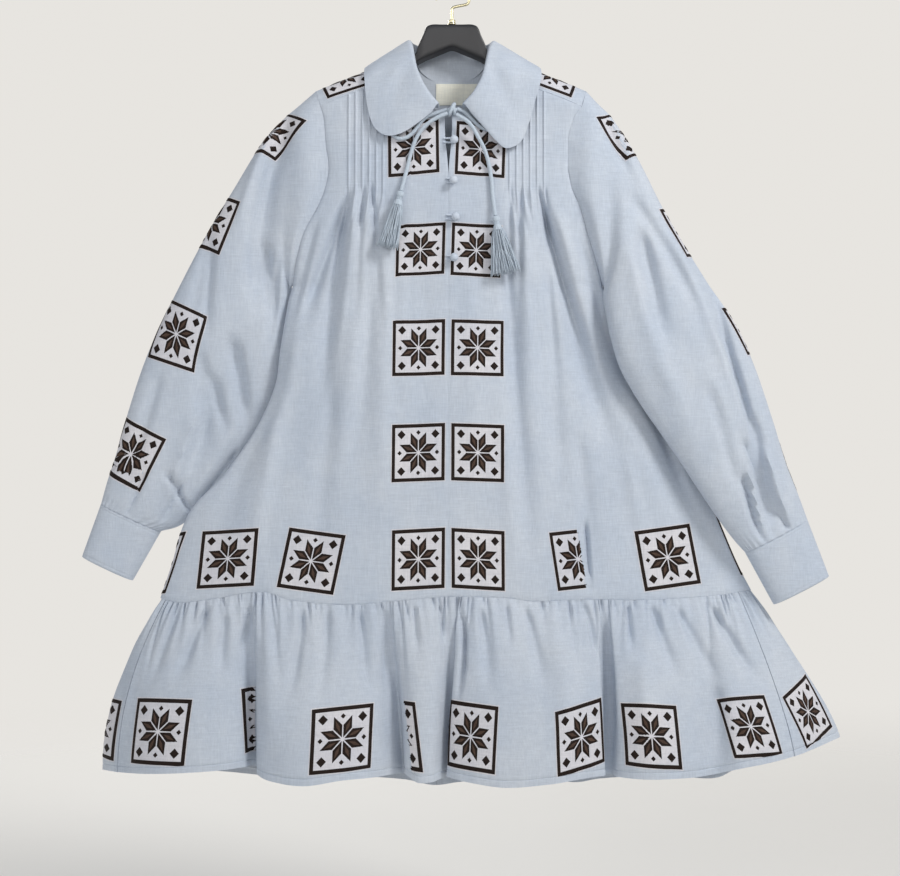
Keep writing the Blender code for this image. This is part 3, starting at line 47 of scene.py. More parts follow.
# Driving sizes
CLOTH = 1.6 * MM
SEAM_GAP = 0.06 * MM
ARMHOLE_GAP = 0.15 * MM
ARMHOLE_TOP_Z = -138.3 * MM
CENTRE_FRONT = -4.2 * MM
SHOULDER_CENTRE = -1.2 * MM
UNDERARM_Z = -371.0 * MM
ARMHOLE_MIDDLE_Z = -255.0 * MM
ARMHOLE_DEPTH = 19.0 * MM
SHOULDER_ROUND = 30.0 * MM
SIDE_ROUND = 5.0 * MM
LEFT_SIDE_FORWARD = -12.0 * MM
RIGHT_SIDE_BACK = 10.0 * MM
BACK_YOKE_Z = -215.0 * MM
TUCK_SPACING = 8.2 * MM
TUCK_COUNT = 6
TUCK_LEFT_X = -122.4 * MM
TUCK_RIGHT_X = 109.2 * MM
TUCK_HEIGHT = 1.7 * MM
TUCK_HALF_WIDTH = 2.0 * MM
TUCK_END_Z = -258.0 * MM
TUCK_FADE = 75.0 * MM
SLIT_HALF_WIDTH = 4.2 * MM
SLIT_TOP_Z = -185.0 * MM
SLIT_END_Z = -246.0 * MM
VIEW_DISTANCE = 2000.0 * MM
VIEW_X = -2.4 * MM
VIEW_Z = -554.0 * MM


# Curves read from short tables
class Smooth:
    """A smooth curve through (place, value) pairs that never overshoots them."""

    def __init__(self, pairs):
        pairs = sorted(pairs)
        self.place = [pair[0] for pair in pairs]
        self.value = [pair[1] for pair in pairs]
        steps = []
        for low, high in zip(pairs, pairs[1:]):
            steps.append((high[1] - low[1]) / (high[0] - low[0]))
        self.slope = [steps[0]]
        for before, after in zip(steps, steps[1:]):
            if before * after > 0:
                self.slope.append(2 * before * after / (before + after))
            else:
                self.slope.append(0.0)
        self.slope.append(steps[-1])

    def __call__(self, place):
        if place <= self.place[0]:
            return self.value[0]
        if place >= self.place[-1]:
            return self.value[-1]
        i = bisect.bisect_right(self.place, place) - 1
        width = self.place[i + 1] - self.place[i]
        t = (place - self.place[i]) / width
        rise = self.value[i + 1] - self.value[i]
        bend_in = self.slope[i] * width - rise
        bend_out = rise - self.slope[i + 1] * width
        return self.value[i] + t * rise + t * (1 - t) * ((1 - t) * bend_in + t * bend_out)


def column(rows, key, name):
    """A smooth curve of one named column against another, in metres."""
    return Smooth([(getattr(row, key) * MM, getattr(row, name) * MM) for row in rows])


def clamp(value, low, high):
    return max(low, min(high, value))


def ease(t):
    t = clamp(t, 0.0, 1.0)
    return t * t * (3 - 2 * t)


def mix(a, b, t):
    return a + (b - a) * t


def seen(x, y, z):
    """The point at depth y that is seen at x, z of the middle plane."""
    scale = (VIEW_DISTANCE + y) / VIEW_DISTANCE
    return Vector((mix(VIEW_X, x, scale), y, mix(VIEW_Z, z, scale)))


# The body: heights, side edges, the edges that the tucks fan from, and depths
BodyRow = namedtuple("BodyRow", "z left left_fan right right_fan front back")
BODY = [
    BodyRow(-137.8, -163.0, -150.0, 160.6, 141.0, 25, 21),
    BodyRow(-160.6, -156.0, -150.0, 153.6, 141.0, 25, 21),
    BodyRow(-172.0, -152.5, -150.0, 145.0, 141.0, 26, 22),
    BodyRow(-203.0, -150.0, -150.0, 138.0, 141.0, 28, 23),
    BodyRow(-233.0, -146.4, -150.0, 138.0, 141.0, 30, 24),
    BodyRow(-258.0, -151.0, -150.0, 142.8, 142.0, 31, 25),
    BodyRow(-276.0, -158.0, -153.0, 151.0, 145.0, 32, 26),
    BodyRow(-313.0, -177.6, -169.0, 162.0, 158.0, 33, 27),
    BodyRow(-345.0, -186.0, -183.0, 172.0, 171.0, 34, 28),
    BodyRow(-371.0, -190.8, -190.8, 180.0, 180.0, 35, 29),
    BodyRow(-387.0, -195.5, -195.5, 187.0, 187.0, 35, 29),
    BodyRow(-407.0, -199.0, -199.0, 190.5, 190.5, 36, 30),
    BodyRow(-434.0, -203.0, -203.0, 198.0, 198.0, 36, 30),
    BodyRow(-452.0, -205.5, -205.5, 206.0, 206.0, 36, 31),
    BodyRow(-480.0, -208.5, -208.5, 223.0, 223.0, 37, 31),
    BodyRow(-524.0, -224.0, -224.0, 253.0, 253.0, 38, 32),
    BodyRow(-596.0, -271.0, -271.0, 297.6, 297.6, 40, 33),
    BodyRow(-640.6, -312.0, -312.0, 316.8, 316.8, 41, 34),
    BodyRow(-664.6, -323.0, -323.0, 326.4, 326.4, 42, 35),
    BodyRow(-704.0, -334.0, -334.0, 343.2, 343.2, 43, 36),
    BodyRow(-745.0, -348.0, -348.0, 364.8, 364.8, 44, 37),
]
left_edge = column(BODY, "z", "left")
left_fan = column(BODY, "z", "left_fan")
right_edge = column(BODY, "z", "right")
right_fan = column(BODY, "z", "right_fan")
front_depth = column(BODY, "z", "front")
back_depth = column(BODY, "z", "back")

# Shoulder line, forward yoke seam and neck seams, against the distance from the centre
Across = namedtuple("Across", "x z")
shoulder_line = column([
    Across(0, -70.0), Across(48.3, -92.4), Across(102.6, -115.0),
    Across(135, -127.5), Across(165, -139.5),
], "x", "z")
yoke_seam = column([
    Across(49, -124.0), Across(104, -140.2), Across(132, -149.8), Across(166, -164.5),
], "x", "z")
front_neck = column([
    Across(3, -168.5), Across(18, -165.0), Across(28, -158.5), Across(37, -148.0),
    Across(44, -135.0), Across(49, -124.0),
], "x", "z")
back_neck = column([
    Across(0, -124.0), Across(14, -122.8), Across(28, -118.0), Across(40, -108.0),
    Across(46, -98.0), Across(48.3, -92.4),
], "x", "z")
NECK_FRONT_X = 49.0 * MM

# The body's hem, where the ruffle is sewn on
Hem = namedtuple("Hem", "x z")
body_hem = column([
    Hem(-348, -744.5), Hem(-322, -749.0), Hem(-290, -745.0), Hem(-225, -734.8),
    Hem(-190, -744.0), Hem(-125, -749.3), Hem(-60, -744.5), Hem(0, -740.2),
    Hem(60, -741.5), Hem(98, -746.2), Hem(160, -744.5), Hem(220, -746.0),
    Hem(310, -743.0), Hem(338, -740.0), Hem(365, -737.0),
], "x", "z")
back_hem = column([Hem(-348, -744.5), Hem(0, -742.0), Hem(365, -737.0)], "x", "z")

# Large soft folds: heights of both ends, x at the top, middle and bottom,
# half widths at both ends, and depth (out of the cloth is positive)
Fold = namedtuple("Fold", "top bottom x_top x_middle x_bottom width_top width_bottom depth")
FRONT_FOLDS = [
    Fold(-262, -470, -121, -160, -196, 7, 13, -8),
    Fold(-262, -560, -122, -150, -158, 6, 17, -7),
    Fold(-262, -640, -103, -116, -132, 8, 20, 5),
    Fold(-300, -690, -80, -82, -84, 9, 16, 5),
    Fold(-330, -740, -165, -205, -262, 10, 24, 6),
    Fold(-420, -740, -190, -245, -300, 8, 20, -4),
    Fold(-262, -600, 106, 144, 202, 7, 15, -11),
    Fold(-262, -700, 98, 118, 138, 6, 14, -5),
    Fold(-280, -740, 60, 74, 98, 6, 12, -8),
    Fold(-262, -640, 118, 168, 235, 8, 22, 6),
    Fold(-262, -560, 84, 94, 108, 8, 14, 5),
    Fold(-480, -740, 205, 240, 275, 12, 26, 5),
]
BACK_FOLDS = [
    Fold(-222, -600, -120, -150, -205, 8, 22, 7),
    Fold(-222, -680, -80, -98, -130, 8, 20, 8),
    Fold(-222, -560, -40, -48, -60, 8, 18, 7),
    Fold(-222, -700, 0, 0, 4, 8, 20, 8),
    Fold(-222, -560, 40, 50, 64, 8, 18, 7),
    Fold(-222, -680, 80, 100, 138, 8, 20, 8),
    Fold(-222, -600, 115, 146, 205, 8, 22, 7),
    Fold(-420, -740, -255, -270, -285, 12, 24, 6),
    Fold(-400, -740, 175, 215, 262, 12, 24, 6),
]


def fold_depth(folds, x, z):
    """How far the folds carry the cloth out at x, z."""
    total = 0.0
    for fold in folds:
        run = (fold.top * MM - z) / ((fold.top - fold.bottom) * MM)
        if 0.0 < run < 1.0:
            start = mix(fold.x_top, fold.x_middle, run)
            end = mix(fold.x_middle, fold.x_bottom, run)
            centre = mix(start, end, run) * MM
            width = mix(fold.width_top, fold.width_bottom, run) * MM
            aside = (x - centre) / width
            fade = ease(run / 0.18) * ease((1.0 - run) / 0.45)
            total += fold.depth * MM * fade * math.exp(-aside * aside)
    return total


def armhole_depth(z):
    """Half the armhole's depth at a height, closing at the underarm."""
    if z >= ARMHOLE_MIDDLE_Z:
        return ARMHOLE_DEPTH
    if z <= UNDERARM_Z:
        return 0.0
    drop = (ARMHOLE_MIDDLE_Z - z) / (ARMHOLE_MIDDLE_Z - UNDERARM_Z)
    return ARMHOLE_DEPTH * math.sqrt(1.0 - drop * drop)


def side_share(x, z):
    """Minus one at the left edge, one at the right edge."""
    left = left_edge(z)
    right = right_edge(z)
    return clamp((2 * x - left - right) / (right - left), -1.0, 1.0)


def from_side(x, z):
    """How far a point lies in from the body's nearer edge."""
    return (1.0 - abs(side_share(x, z))) * (right_edge(z) - left_edge(z)) / 2.0


def middle_sheet(x, z):
    """The middle of the flattened body: its left side lies forward, its right side back."""
    lean = ease((UNDERARM_Z - z) / (95 * MM))
    share = (side_share(x, z) + 1.0) / 2.0
    return lean * mix(LEFT_SIDE_FORWARD, RIGHT_SIDE_BACK, share)


def half_thickness(x, z, face):
    """Half the body's thickness: face is -1 for the front and 1 for the back."""
    share = side_share(x, z)
    roll = 1.0 - min(from_side(x, z) / SIDE_ROUND, 1.0)
    side = SIDE_ROUND * math.sqrt(1.0 - roll * roll)
    opening = armhole_depth(z)
    depth = front_depth(z) if face < 0 else back_depth(z)
    room = depth - math.hypot(opening, SIDE_ROUND)
    full_side = share * face > 0
    crown = (1.0 - abs(share) ** 2.6) ** 0.7 if full_side else 1.0 - share * share
    below = shoulder_line(abs(x - SHOULDER_CENTRE)) - z
    lip = 1.0 - clamp(below / SHOULDER_ROUND, 0.0, 1.0)
    return math.sqrt(1.0 - lip * lip) * (math.hypot(opening, side) + room * crown)


def pintucks(x, z):
    """The stitched tucks below the yoke, which open into soft ridges under their ends."""
    inward = CENTRE_FRONT - x if x < CENTRE_FRONT else x - CENTRE_FRONT
    outer = CENTRE_FRONT - TUCK_LEFT_X if x < CENTRE_FRONT else TUCK_RIGHT_X - CENTRE_FRONT
    fan_edge = left_fan(z) if x < CENTRE_FRONT else right_fan(z)
    fan_top = left_fan(TUCK_END_Z) if x < CENTRE_FRONT else right_fan(TUCK_END_Z)
    spread = (fan_edge - CENTRE_FRONT) / (fan_top - CENTRE_FRONT) if z < TUCK_END_Z else 1.0
    place = (outer - inward / spread) / TUCK_SPACING
    nearest = clamp(round(place), 0, TUCK_COUNT - 1)
    aside = abs(place - nearest) * TUCK_SPACING
    opened = ease((TUCK_END_Z - z) / TUCK_FADE)
    half = mix(TUCK_HALF_WIDTH, TUCK_SPACING * 0.55, ease(opened * 3.0))
    rise = max(0.0, 1.0 - aside / half)
    return TUCK_HEIGHT * (1.0 - opened) * ease(rise) * (1.0 + 0.8 * ease(opened * 2.0))


def front_y(x, z):
    """Depth of the front's outer face."""
    calm = ease(from_side(x, z) / (24 * MM))
    raised = fold_depth(FRONT_FOLDS, x, z) * calm + pintucks(x, z)
    return middle_sheet(x, z) - half_thickness(x, z, -1) - raised


def back_y(x, z):
    """Depth of the back's outer face."""
    calm = ease(from_side(x, z) / (24 * MM))
    return middle_sheet(x, z) + half_thickness(x, z, 1) + fold_depth(BACK_FOLDS, x, z) * calm


# Making pieces
def place_piece(item, slot, *nodes):
    """The piece rides on the one body and stands for its CAD nodes, which it hides; the slot is not used.
    """
    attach(item, "root")
    if nodes:
        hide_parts(*nodes)
    return item


def shown(name, mesh, made, smooth_angle):
    """An object in the scene from a finished mesh."""
    mesh.shade_smooth()
    mesh.set_sharp_from_angle(angle=math.radians(smooth_angle))
    mesh.materials.append(made)
    item = bpy.data.objects.new(name, mesh)
    bpy.context.scene.collection.objects.link(item)
    return item


def add_object(name, mesh_source, made, smooth_angle=60):
    """Adds a mesh with its faces turned outward."""
    bmesh.ops.recalc_face_normals(mesh_source, faces=mesh_source.faces)
    mesh = bpy.data.meshes.new(name)
    mesh_source.to_mesh(mesh)
    mesh_source.free()
    return shown(name, mesh, made, smooth_angle)


def mesh_object(name, points, faces, made, smooth_angle=60):
    """Adds a mesh from plain lists of points and faces."""
    mesh = bpy.data.meshes.new(name)
    mesh.from_pydata([tuple(point) for point in points], [], faces)
    return shown(name, mesh, made, smooth_angle)


def wall(name, outer, inner, made, tube=False):
    """A closed cloth wall between two grids of points; a tube's rows are rings."""
    rows = len(outer)
    count = len(outer[0])
    points = [point for row in outer for point in row] + [point for row in inner for point in row]
    shift = rows * count
    last = count if tube else count - 1
    faces = []
    for r in range(rows - 1):
        for c in range(last):
            d = (c + 1) % count
            a = r * count
            b = a + count
            faces.append((a + c, a + d, b + d, b + c))
            faces.append((shift + a + c, shift + b + c, shift + b + d, shift + a + d))
    end = (rows - 1) * count
    for c in range(last):
        d = (c + 1) % count
        faces.append((c, shift + c, shift + d, d))
        faces.append((end + c, end + d, shift + end + d, shift + end + c))
    if not tube:
        for r in range(rows - 1):
            a = r * count
            b = a + count
            e = count - 1
            faces.append((a, b, shift + b, shift + a))
            faces.append((a + e, shift + a + e, shift + b + e, b + e))
    mesh = bmesh.new()
    made_points = [mesh.verts.new(point) for point in points]
    for face in faces:
        mesh.faces.new([made_points[i] for i in face])
    return add_object(name, mesh, made)


def refine_line(line, times, closed=False):
    """The line's own points with smooth ones between them."""
    count = len(line)
    spans = count if closed else count - 1
    result = []
    for i in range(spans):
        a = line[i]
        b = line[(i + 1) % count]
        before = line[i - 1] if (i > 0 or closed) else a
        after = line[(i + 2) % count] if (i < count - 2 or closed) else b
        width = (b - a).length
        into = (b - before) / max((a - before).length + width, 1e-9) * width
        out = (after - a) / max((after - b).length + width, 1e-9) * width
        if before is a:
            into = b - a
        if after is b:
            out = b - a
        for step in range(times):
            t = step / times
            rise = b - a
            bend_in = into - rise
            bend_out = rise - out
            result.append(a + rise * t + (bend_in * (1 - t) + bend_out * t) * t * (1 - t))
    if not closed:
        result.append(line[-1].copy())
    return result


def refine(grid, rows_by, columns_by, closed=False):
    """The grid's own points with smooth ones between them both ways."""
    fine = [refine_line(row, columns_by, closed) for row in grid]
    columns = [refine_line([row[c] for row in fine], rows_by) for c in range(len(fine[0]))]
    return [[column[r] for column in columns] for r in range(len(columns[0]))]


def solid_rings(name, rings, made):
    """A closed solid through rings of points, capped at both ends."""
    mesh = bmesh.new()
    layers = [[mesh.verts.new(point) for point in ring] for ring in rings]
    count = len(rings[0])
    for low, high in zip(layers, layers[1:]):
        for c in range(count):
            d = (c + 1) % count
            mesh.faces.new((low[c], low[d], high[d], high[c]))
    mesh.faces.new(layers[0])
    mesh.faces.new(list(reversed(layers[-1])))
    return add_object(name, mesh, made)


def inset(points, thickness, steer):
    """The grid moved into the cloth; steer may turn the direction at a row and column."""
    rows = len(points)
    count = len(points[0])
    moved = []
    for r in range(rows):
        line = []
        for c in range(count):
            down = points[min(r + 1, rows - 1)][c] - points[max(r - 1, 0)][c]
            along = points[r][min(c + 1, count - 1)] - points[r][max(c - 1, 0)]
            direction = down.cross(along)
            direction.normalize()
            direction = steer(r, c, direction)
            line.append(points[r][c] + direction.normalized() * thickness)
        moved.append(line)
    return moved


def flat_in_z(direction):
    return Vector((direction.x, direction.y, 0.0))


# Fronts, back and yoke
def armhole_height(turn):
    """Height of an armhole point, by its turn from the shoulder to the underarm."""
    return mix(UNDERARM_Z, ARMHOLE_TOP_Z, (1.0 + math.cos(turn)) / 2.0)


def slit(z):
    """How far the neck slit stands open on each side of the centre front."""
    return SLIT_HALF_WIDTH * ease((z - SLIT_END_Z) / (SLIT_TOP_Z - SLIT_END_Z))


def front_top(x):
    aside = abs(x - SHOULDER_CENTRE)
    if aside >= NECK_FRONT_X:
        return yoke_seam(aside) - SEAM_GAP
    return front_neck(aside)


def drop_root(x, z):
    """The root of a height's drop below the shoulder line, which runs evenly over it."""
    return math.sqrt(max(0.0, shoulder_line(abs(x - SHOULDER_CENTRE)) - z))


def yoke_point(x, root):
    """A point of the yoke's outer face; a negative root is in front of the shoulder."""
    z = shoulder_line(abs(x - SHOULDER_CENTRE)) - root * root
    if abs(root) < 1e-9:
        return Vector((x, 0.0, z))
    face = -1 if root < 0 else 1
    return Vector((x, middle_sheet(x, z) + face * half_thickness(x, z, face), z))


# The yoke's rays: distance from the centre on the neck seam, and the share of the
# way round its outer end, which runs up the armhole and then along the back seam
YokeRay = namedtuple("YokeRay", "neck_x outer_x outer_root")
YOKE_RAYS = [
    YokeRay(0, 0, None), YokeRay(8, 24, None), YokeRay(16, 50, None), YokeRay(24, 78, None),
    YokeRay(32, 106, None), YokeRay(39, 131, None), YokeRay(44, None, 1.0),
    YokeRay(45.2, None, 0.84), YokeRay(46.2, None, 0.66), YokeRay(47.1, None, 0.46),
    YokeRay(47.7, None, 0.28), YokeRay(48.1, None, 0.13), YokeRay(48.3, None, 0.0),
    YokeRay(48.5, None, -0.26), YokeRay(48.8, None, -0.6), YokeRay(49.0, None, -1.0),
]
YOKE_STEPS = 7


def armhole_tip(root, side):
    """The armhole edge at one drop below the shoulder."""
    edge = left_edge if side < 0 else right_edge
    x = edge(-145 * MM)
    for _ in range(12):
        x = edge(shoulder_line(abs(x - SHOULDER_CENTRE)) - root * root)
    return x


def yoke_ray(ray, side):
    """Points from the neck seam to the yoke's outer edge."""
    neck_x = SHOULDER_CENTRE + side * ray.neck_x * MM
    if ray.neck_x > 48.9:
        neck_root = -drop_root(neck_x, yoke_seam(ray.neck_x * MM))
    elif ray.outer_root is not None and ray.outer_root < 0:
        neck_root = 0.17 * ray.outer_root
    else:
        neck_root = drop_root(neck_x, back_neck(ray.neck_x * MM))
    if ray.outer_x is not None:
        outer_x = SHOULDER_CENTRE + side * ray.outer_x * MM
        outer_root = drop_root(outer_x, BACK_YOKE_Z)
    else:
        corner_x = armhole_tip(0.28, side)
        if ray.outer_root < 0:
            corner_x = armhole_tip(0.15, side)
            span = drop_root(corner_x, yoke_seam(abs(corner_x - SHOULDER_CENTRE)))
        else:
            span = drop_root(corner_x, BACK_YOKE_Z)
        outer_root = ray.outer_root * span
        outer_x = armhole_tip(outer_root, side)
    line = []
    for step in range(YOKE_STEPS + 1):
        share = step / YOKE_STEPS
        x = mix(neck_x, outer_x, share)
        root = mix(neck_root, outer_root, share)
        if ray.outer_x is not None or ray.outer_root == 1.0:
            z = mix(back_neck(ray.neck_x * MM), BACK_YOKE_Z, share)
            root = drop_root(x, z)
        if ray.outer_root == -1.0:
            root = -drop_root(x, yoke_seam(abs(x - SHOULDER_CENTRE)))
        line.append(yoke_point(x, root))
    return line


# Sleeves and cuffs: the outer and inner ends of each section, the depth of its inner
# end behind the middle plane, and half the section's depth
SleeveRow = namedtuple("SleeveRow", "outer_x outer_z inner_x inner_z inner_y depth")
SLEEVE_LEFT = [
    SleeveRow(-201.6, -171.4, -199.5, -385.0, 12, 22),
    SleeveRow(-228.0, -201.4, -201.0, -406.6, 16, 25),
    SleeveRow(-254.4, -244.6, -198.0, -434.2, 19, 27),
    SleeveRow(-283.2, -287.8, -194.0, -463.0, 20, 28),
    SleeveRow(-312.0, -345.4, -195.6, -491.8, 20, 28),
    SleeveRow(-342.0, -403.0, -205.2, -520.6, 20, 28),
    SleeveRow(-362.4, -446.2, -218.4, -547.0, 20, 27),
    SleeveRow(-378.0, -489.4, -237.6, -572.2, 20, 26),
    SleeveRow(-391.2, -532.6, -259.2, -598.6, 19, 25),
    SleeveRow(-403.2, -575.8, -283.2, -625.0, 18, 24),
    SleeveRow(-412.8, -604.6, -306.0, -644.2, 16, 23),
    SleeveRow(-417.6, -621.4, -328.0, -659.8, 13, 21),
    SleeveRow(-420.6, -632.2, -349.2, -665.8, 10, 18),
]
SLEEVE_RIGHT = [
    SleeveRow(190.8, -169.0, 187.0, -384.0, -8, 20),
    SleeveRow(220.8, -215.8, 187.5, -407.8, -17, 25),
    SleeveRow(249.6, -273.4, 189.5, -429.4, -22, 26),
    SleeveRow(282.0, -331.0, 195.6, -455.8, -24, 27),
    SleeveRow(320.4, -388.6, 208.8, -487.0, -23, 27),
    SleeveRow(339.6, -417.4, 226.8, -514.6, -20, 26),
    SleeveRow(356.4, -451.0, 246.0, -542.2, -20, 26),
    SleeveRow(375.6, -503.8, 266.4, -571.0, -20, 25),
    SleeveRow(388.8, -547.0, 285.6, -601.0, -19, 24),
    SleeveRow(400.8, -585.4, 304.8, -629.8, -18, 23),
    SleeveRow(414.0, -619.0, 324.0, -657.4, -16, 21),
    SleeveRow(421.2, -638.2, 339.6, -677.8, -13, 19),
    SleeveRow(426.0, -651.4, 351.6, -691.0, -10, 18),
]
CUFF_END_LEFT = SleeveRow(-443.5, -695.8, -382.8, -724.6, 8, 17)
CUFF_END_RIGHT = SleeveRow(451.9, -719.2, 385.8, -753.4, -8, 17)
LEFT_SLEEVE_FOLDS = [
    Fold(-160, -460, -186, -238, -222, 8, 16, -7),
    Fold(-320, -560, -206, -214, -245, 10, 16, 5),
    Fold(-440, -640, -262, -290, -336, 10, 16, -6),
    Fold(-520, -655, -250, -282, -330, 8, 14, 5),
]
RIGHT_SLEEVE_FOLDS = [
    Fold(-200, -470, 200, 226, 262, 10, 18, -5),
    Fold(-240, -600, 255, 330, 368, 10, 14, -6),
    Fold(-300, -600, 205, 235, 300, 10, 14, 5),
    Fold(-560, -680, 352, 366, 380, 9, 9, -6),
    Fold(-440, -650, 300, 320, 345, 10, 12, 4),
]
RING_POWER = 2.4


def section_point(row, angle, shrink):
    """A point of a sleeve's section; the angle runs from its outer end over the front."""
    cosine = math.cos(angle)
    sine = math.sin(angle)
    power = 2.0 / RING_POWER
    along = math.copysign(abs(cosine) ** power, cosine)
    deep = math.copysign(abs(sine) ** power, sine)
    outer = Vector((row.outer_x * MM, 0.0, row.outer_z * MM))
    inner = seen(row.inner_x * MM, row.inner_y * MM, row.inner_z * MM)
    middle = (outer + inner) / 2
    reach = (outer - inner) / 2
    reach *= (reach.length - shrink) / reach.length
    return middle + reach * along - Vector((0, (row.depth * MM - shrink) * deep, 0))


def armhole_point(side, angle, shrink):
    """A point of the armhole, with the angle running from the shoulder over the front."""
    edge = left_edge if side < 0 else right_edge
    height = armhole_height(angle)
    x = edge(height) + side * ARMHOLE_GAP
    face = -1 if math.sin(angle) >= 0 else 1
    below = shoulder_line(abs(x - SHOULDER_CENTRE)) - height
    lip = 1.0 - clamp(below / SHOULDER_ROUND, 0.0, 1.0)
    reach = armhole_depth(height) * math.sqrt(1.0 - lip * lip)
    if abs(math.sin(angle)) < 1e-6:
        reach = 0.0
    point = Vector((x, face * reach, height))
    centre = Vector((x, 0.0, mix(UNDERARM_Z, ARMHOLE_TOP_Z, 0.5)))
    inward = centre - point
    return point + inward.normalized() * shrink


def blend_rows(first, second, share):
    values = [mix(a, b, share) for a, b in zip(first, second)]
    return SleeveRow(*values)


# Ruffle: where each point of the hem is sewn to the body (its place round the body's
# hem, from -1 at the left edge to 1 at the right edge and on to 3 round the back),
# and where that point hangs at the bottom
RuffleRow = namedtuple("RuffleRow", "seam x y z")
RUFFLE_FRONT = [
    RuffleRow(-0.976, -401, -30, -955),
    RuffleRow(-0.93, -367, -60, -957),
    RuffleRow(-0.87, -320, -74, -956),
    RuffleRow(-0.80, -278, -70, -953),
    RuffleRow(-0.74, -250, -54, -949),
    RuffleRow(-0.715, -239, -35, -947),
    RuffleRow(-0.69, -229, -33, -950),
    RuffleRow(-0.672, -234, -55, -957),
    RuffleRow(-0.65, -218, -71, -966),
    RuffleRow(-0.57, -178, -84, -972),
    RuffleRow(-0.45, -132, -80, -965),
    RuffleRow(-0.33, -92, -62, -961),
    RuffleRow(-0.265, -68, -36, -957),
    RuffleRow(-0.235, -58, -22, -956),
    RuffleRow(-0.20, -56, -50, -958),
    RuffleRow(-0.16, -41, -66, -968),
    RuffleRow(-0.10, -24, -65, -967),
    RuffleRow(-0.05, -12, -47, -962),
    RuffleRow(-0.024, -3, -28, -960),
    RuffleRow(-0.007, 4, -29, -959),
    RuffleRow(0.008, -6, -53, -960),
    RuffleRow(0.05, 22, -73, -968),
    RuffleRow(0.14, 64, -84, -974),
    RuffleRow(0.29, 118, -84, -970),
    RuffleRow(0.40, 158, -73, -963),
    RuffleRow(0.452, 184, -58, -959),
    RuffleRow(0.472, 180, -35, -957),
    RuffleRow(0.488, 190, -32, -957),
    RuffleRow(0.508, 201, -56, -961),
    RuffleRow(0.60, 238, -72, -964),
    RuffleRow(0.72, 286, -66, -962),
    RuffleRow(0.81, 313, -52, -958),
    RuffleRow(0.86, 346, -62, -951),
    RuffleRow(0.905, 382, -56, -944),
    RuffleRow(0.949, 410.5, -40, -936),
]
RUFFLE_BACK = [
    RuffleRow(0.951, 411.5, -39, -936),
    RuffleRow(0.985, 441, -22, -924),
    RuffleRow(1.02, 465.6, 2, -913),
    RuffleRow(1.07, 440, 38, -930),
    RuffleRow(1.14, 395, 58, -948),
    RuffleRow(1.22, 345, 44, -960),
    RuffleRow(1.28, 318, 22, -966),
    RuffleRow(1.36, 282, 48, -970),
    RuffleRow(1.48, 230, 62, -972),
    RuffleRow(1.60, 180, 52, -973),
    RuffleRow(1.67, 150, 26, -972),
    RuffleRow(1.75, 118, 50, -973),
    RuffleRow(1.88, 62, 64, -975),
    RuffleRow(2.00, 6, 46, -976),
    RuffleRow(2.08, -22, 24, -975),
    RuffleRow(2.16, -56, 52, -974),
    RuffleRow(2.30, -112, 64, -973),
    RuffleRow(2.43, -168, 44, -971),
    RuffleRow(2.50, -196, 22, -970),
    RuffleRow(2.59, -232, 46, -968),
    RuffleRow(2.72, -290, 60, -965),
    RuffleRow(2.84, -345, 48, -960),
    RuffleRow(2.93, -394, 30, -956),
    RuffleRow(2.985, -418.8, 2, -952),
    RuffleRow(3.01, -412, -16, -953),
    RuffleRow(3.022, -402, -29.3, -955),
]
FRONT_GATHERS = 44
BACK_GATHERS = 44
BACK_SPLIT = 50
HEM_GAP = 0.12 * MM


def hem_loop(place):
    """A point of the body's hem; the place runs once round it."""
    share = place if place <= 1.0 else 2.0 - place
    share = max(-1.0, share)
    if place > 3.0:
        share = place - 4.0
    face = 1 if 1.0 < place <= 3.0 else -1
    hem = back_hem if face > 0 else body_hem
    z = hem(mix(left_edge(-745 * MM), right_edge(-745 * MM), (share + 1) / 2))
    x = mix(left_edge(z), right_edge(z), (share + 1) / 2)
    y = back_y(x, z) if face > 0 else front_y(x, z)
    if abs(share) > 0.999:
        y = middle_sheet(x, z)
    return Vector((x, y, z))


def gather_hash(number):
    """A fixed uneven value between nought and one for each gather."""
    return (math.sin(number * 12.9898) * 43758.5453) % 1.0


def ruffle_sheet(table):
    """A function that gives a ruffle's point from its way along and down."""
    hems = []
    for row in table:
        hem = Vector((row.x, row.y, row.z)) * MM
        if hem.y < 0:
            hem = seen(*hem)
        hems.append(hem)
    length = [0.0]
    for a, b in zip(hems, hems[1:]):
        length.append(length[-1] + (b - a).length)
    places = Smooth(list(zip(length, [row.seam for row in table])))
    hem_x = natural(length, [point.x for point in hems])
    hem_y = natural(length, [point.y for point in hems])
    hem_z = natural(length, [point.z for point in hems])
    total = length[-1]

    def point_at(share, down, gather):
        run = share * total
        seam = hem_loop(places(run))
        hem = Vector((hem_x(run), hem_y(run), hem_z(run)))
        left_bulge = ease((seam.x + 250 * MM) / (-90 * MM))
        power = 1.25 + 0.75 * left_bulge
        out = 1.0 - (1.0 - down) ** power
        deep = 1.0 - (1.0 - down) ** 1.5
        start_z = seam.z - HEM_GAP
        point = Vector((mix(seam.x, hem.x, out), mix(seam.y, hem.y, deep), mix(start_z, hem.z, down)))
        near_seam = ease((down + 0.03) / 0.1) * (1.0 - ease(down / (0.3 + 0.35 * gather_hash(gather[1]))))
        lift = gather[0] * (0.5 + 1.9 * near_seam) * MM * (1.0 - ease(down / 0.6))
        return point, lift

    return point_at


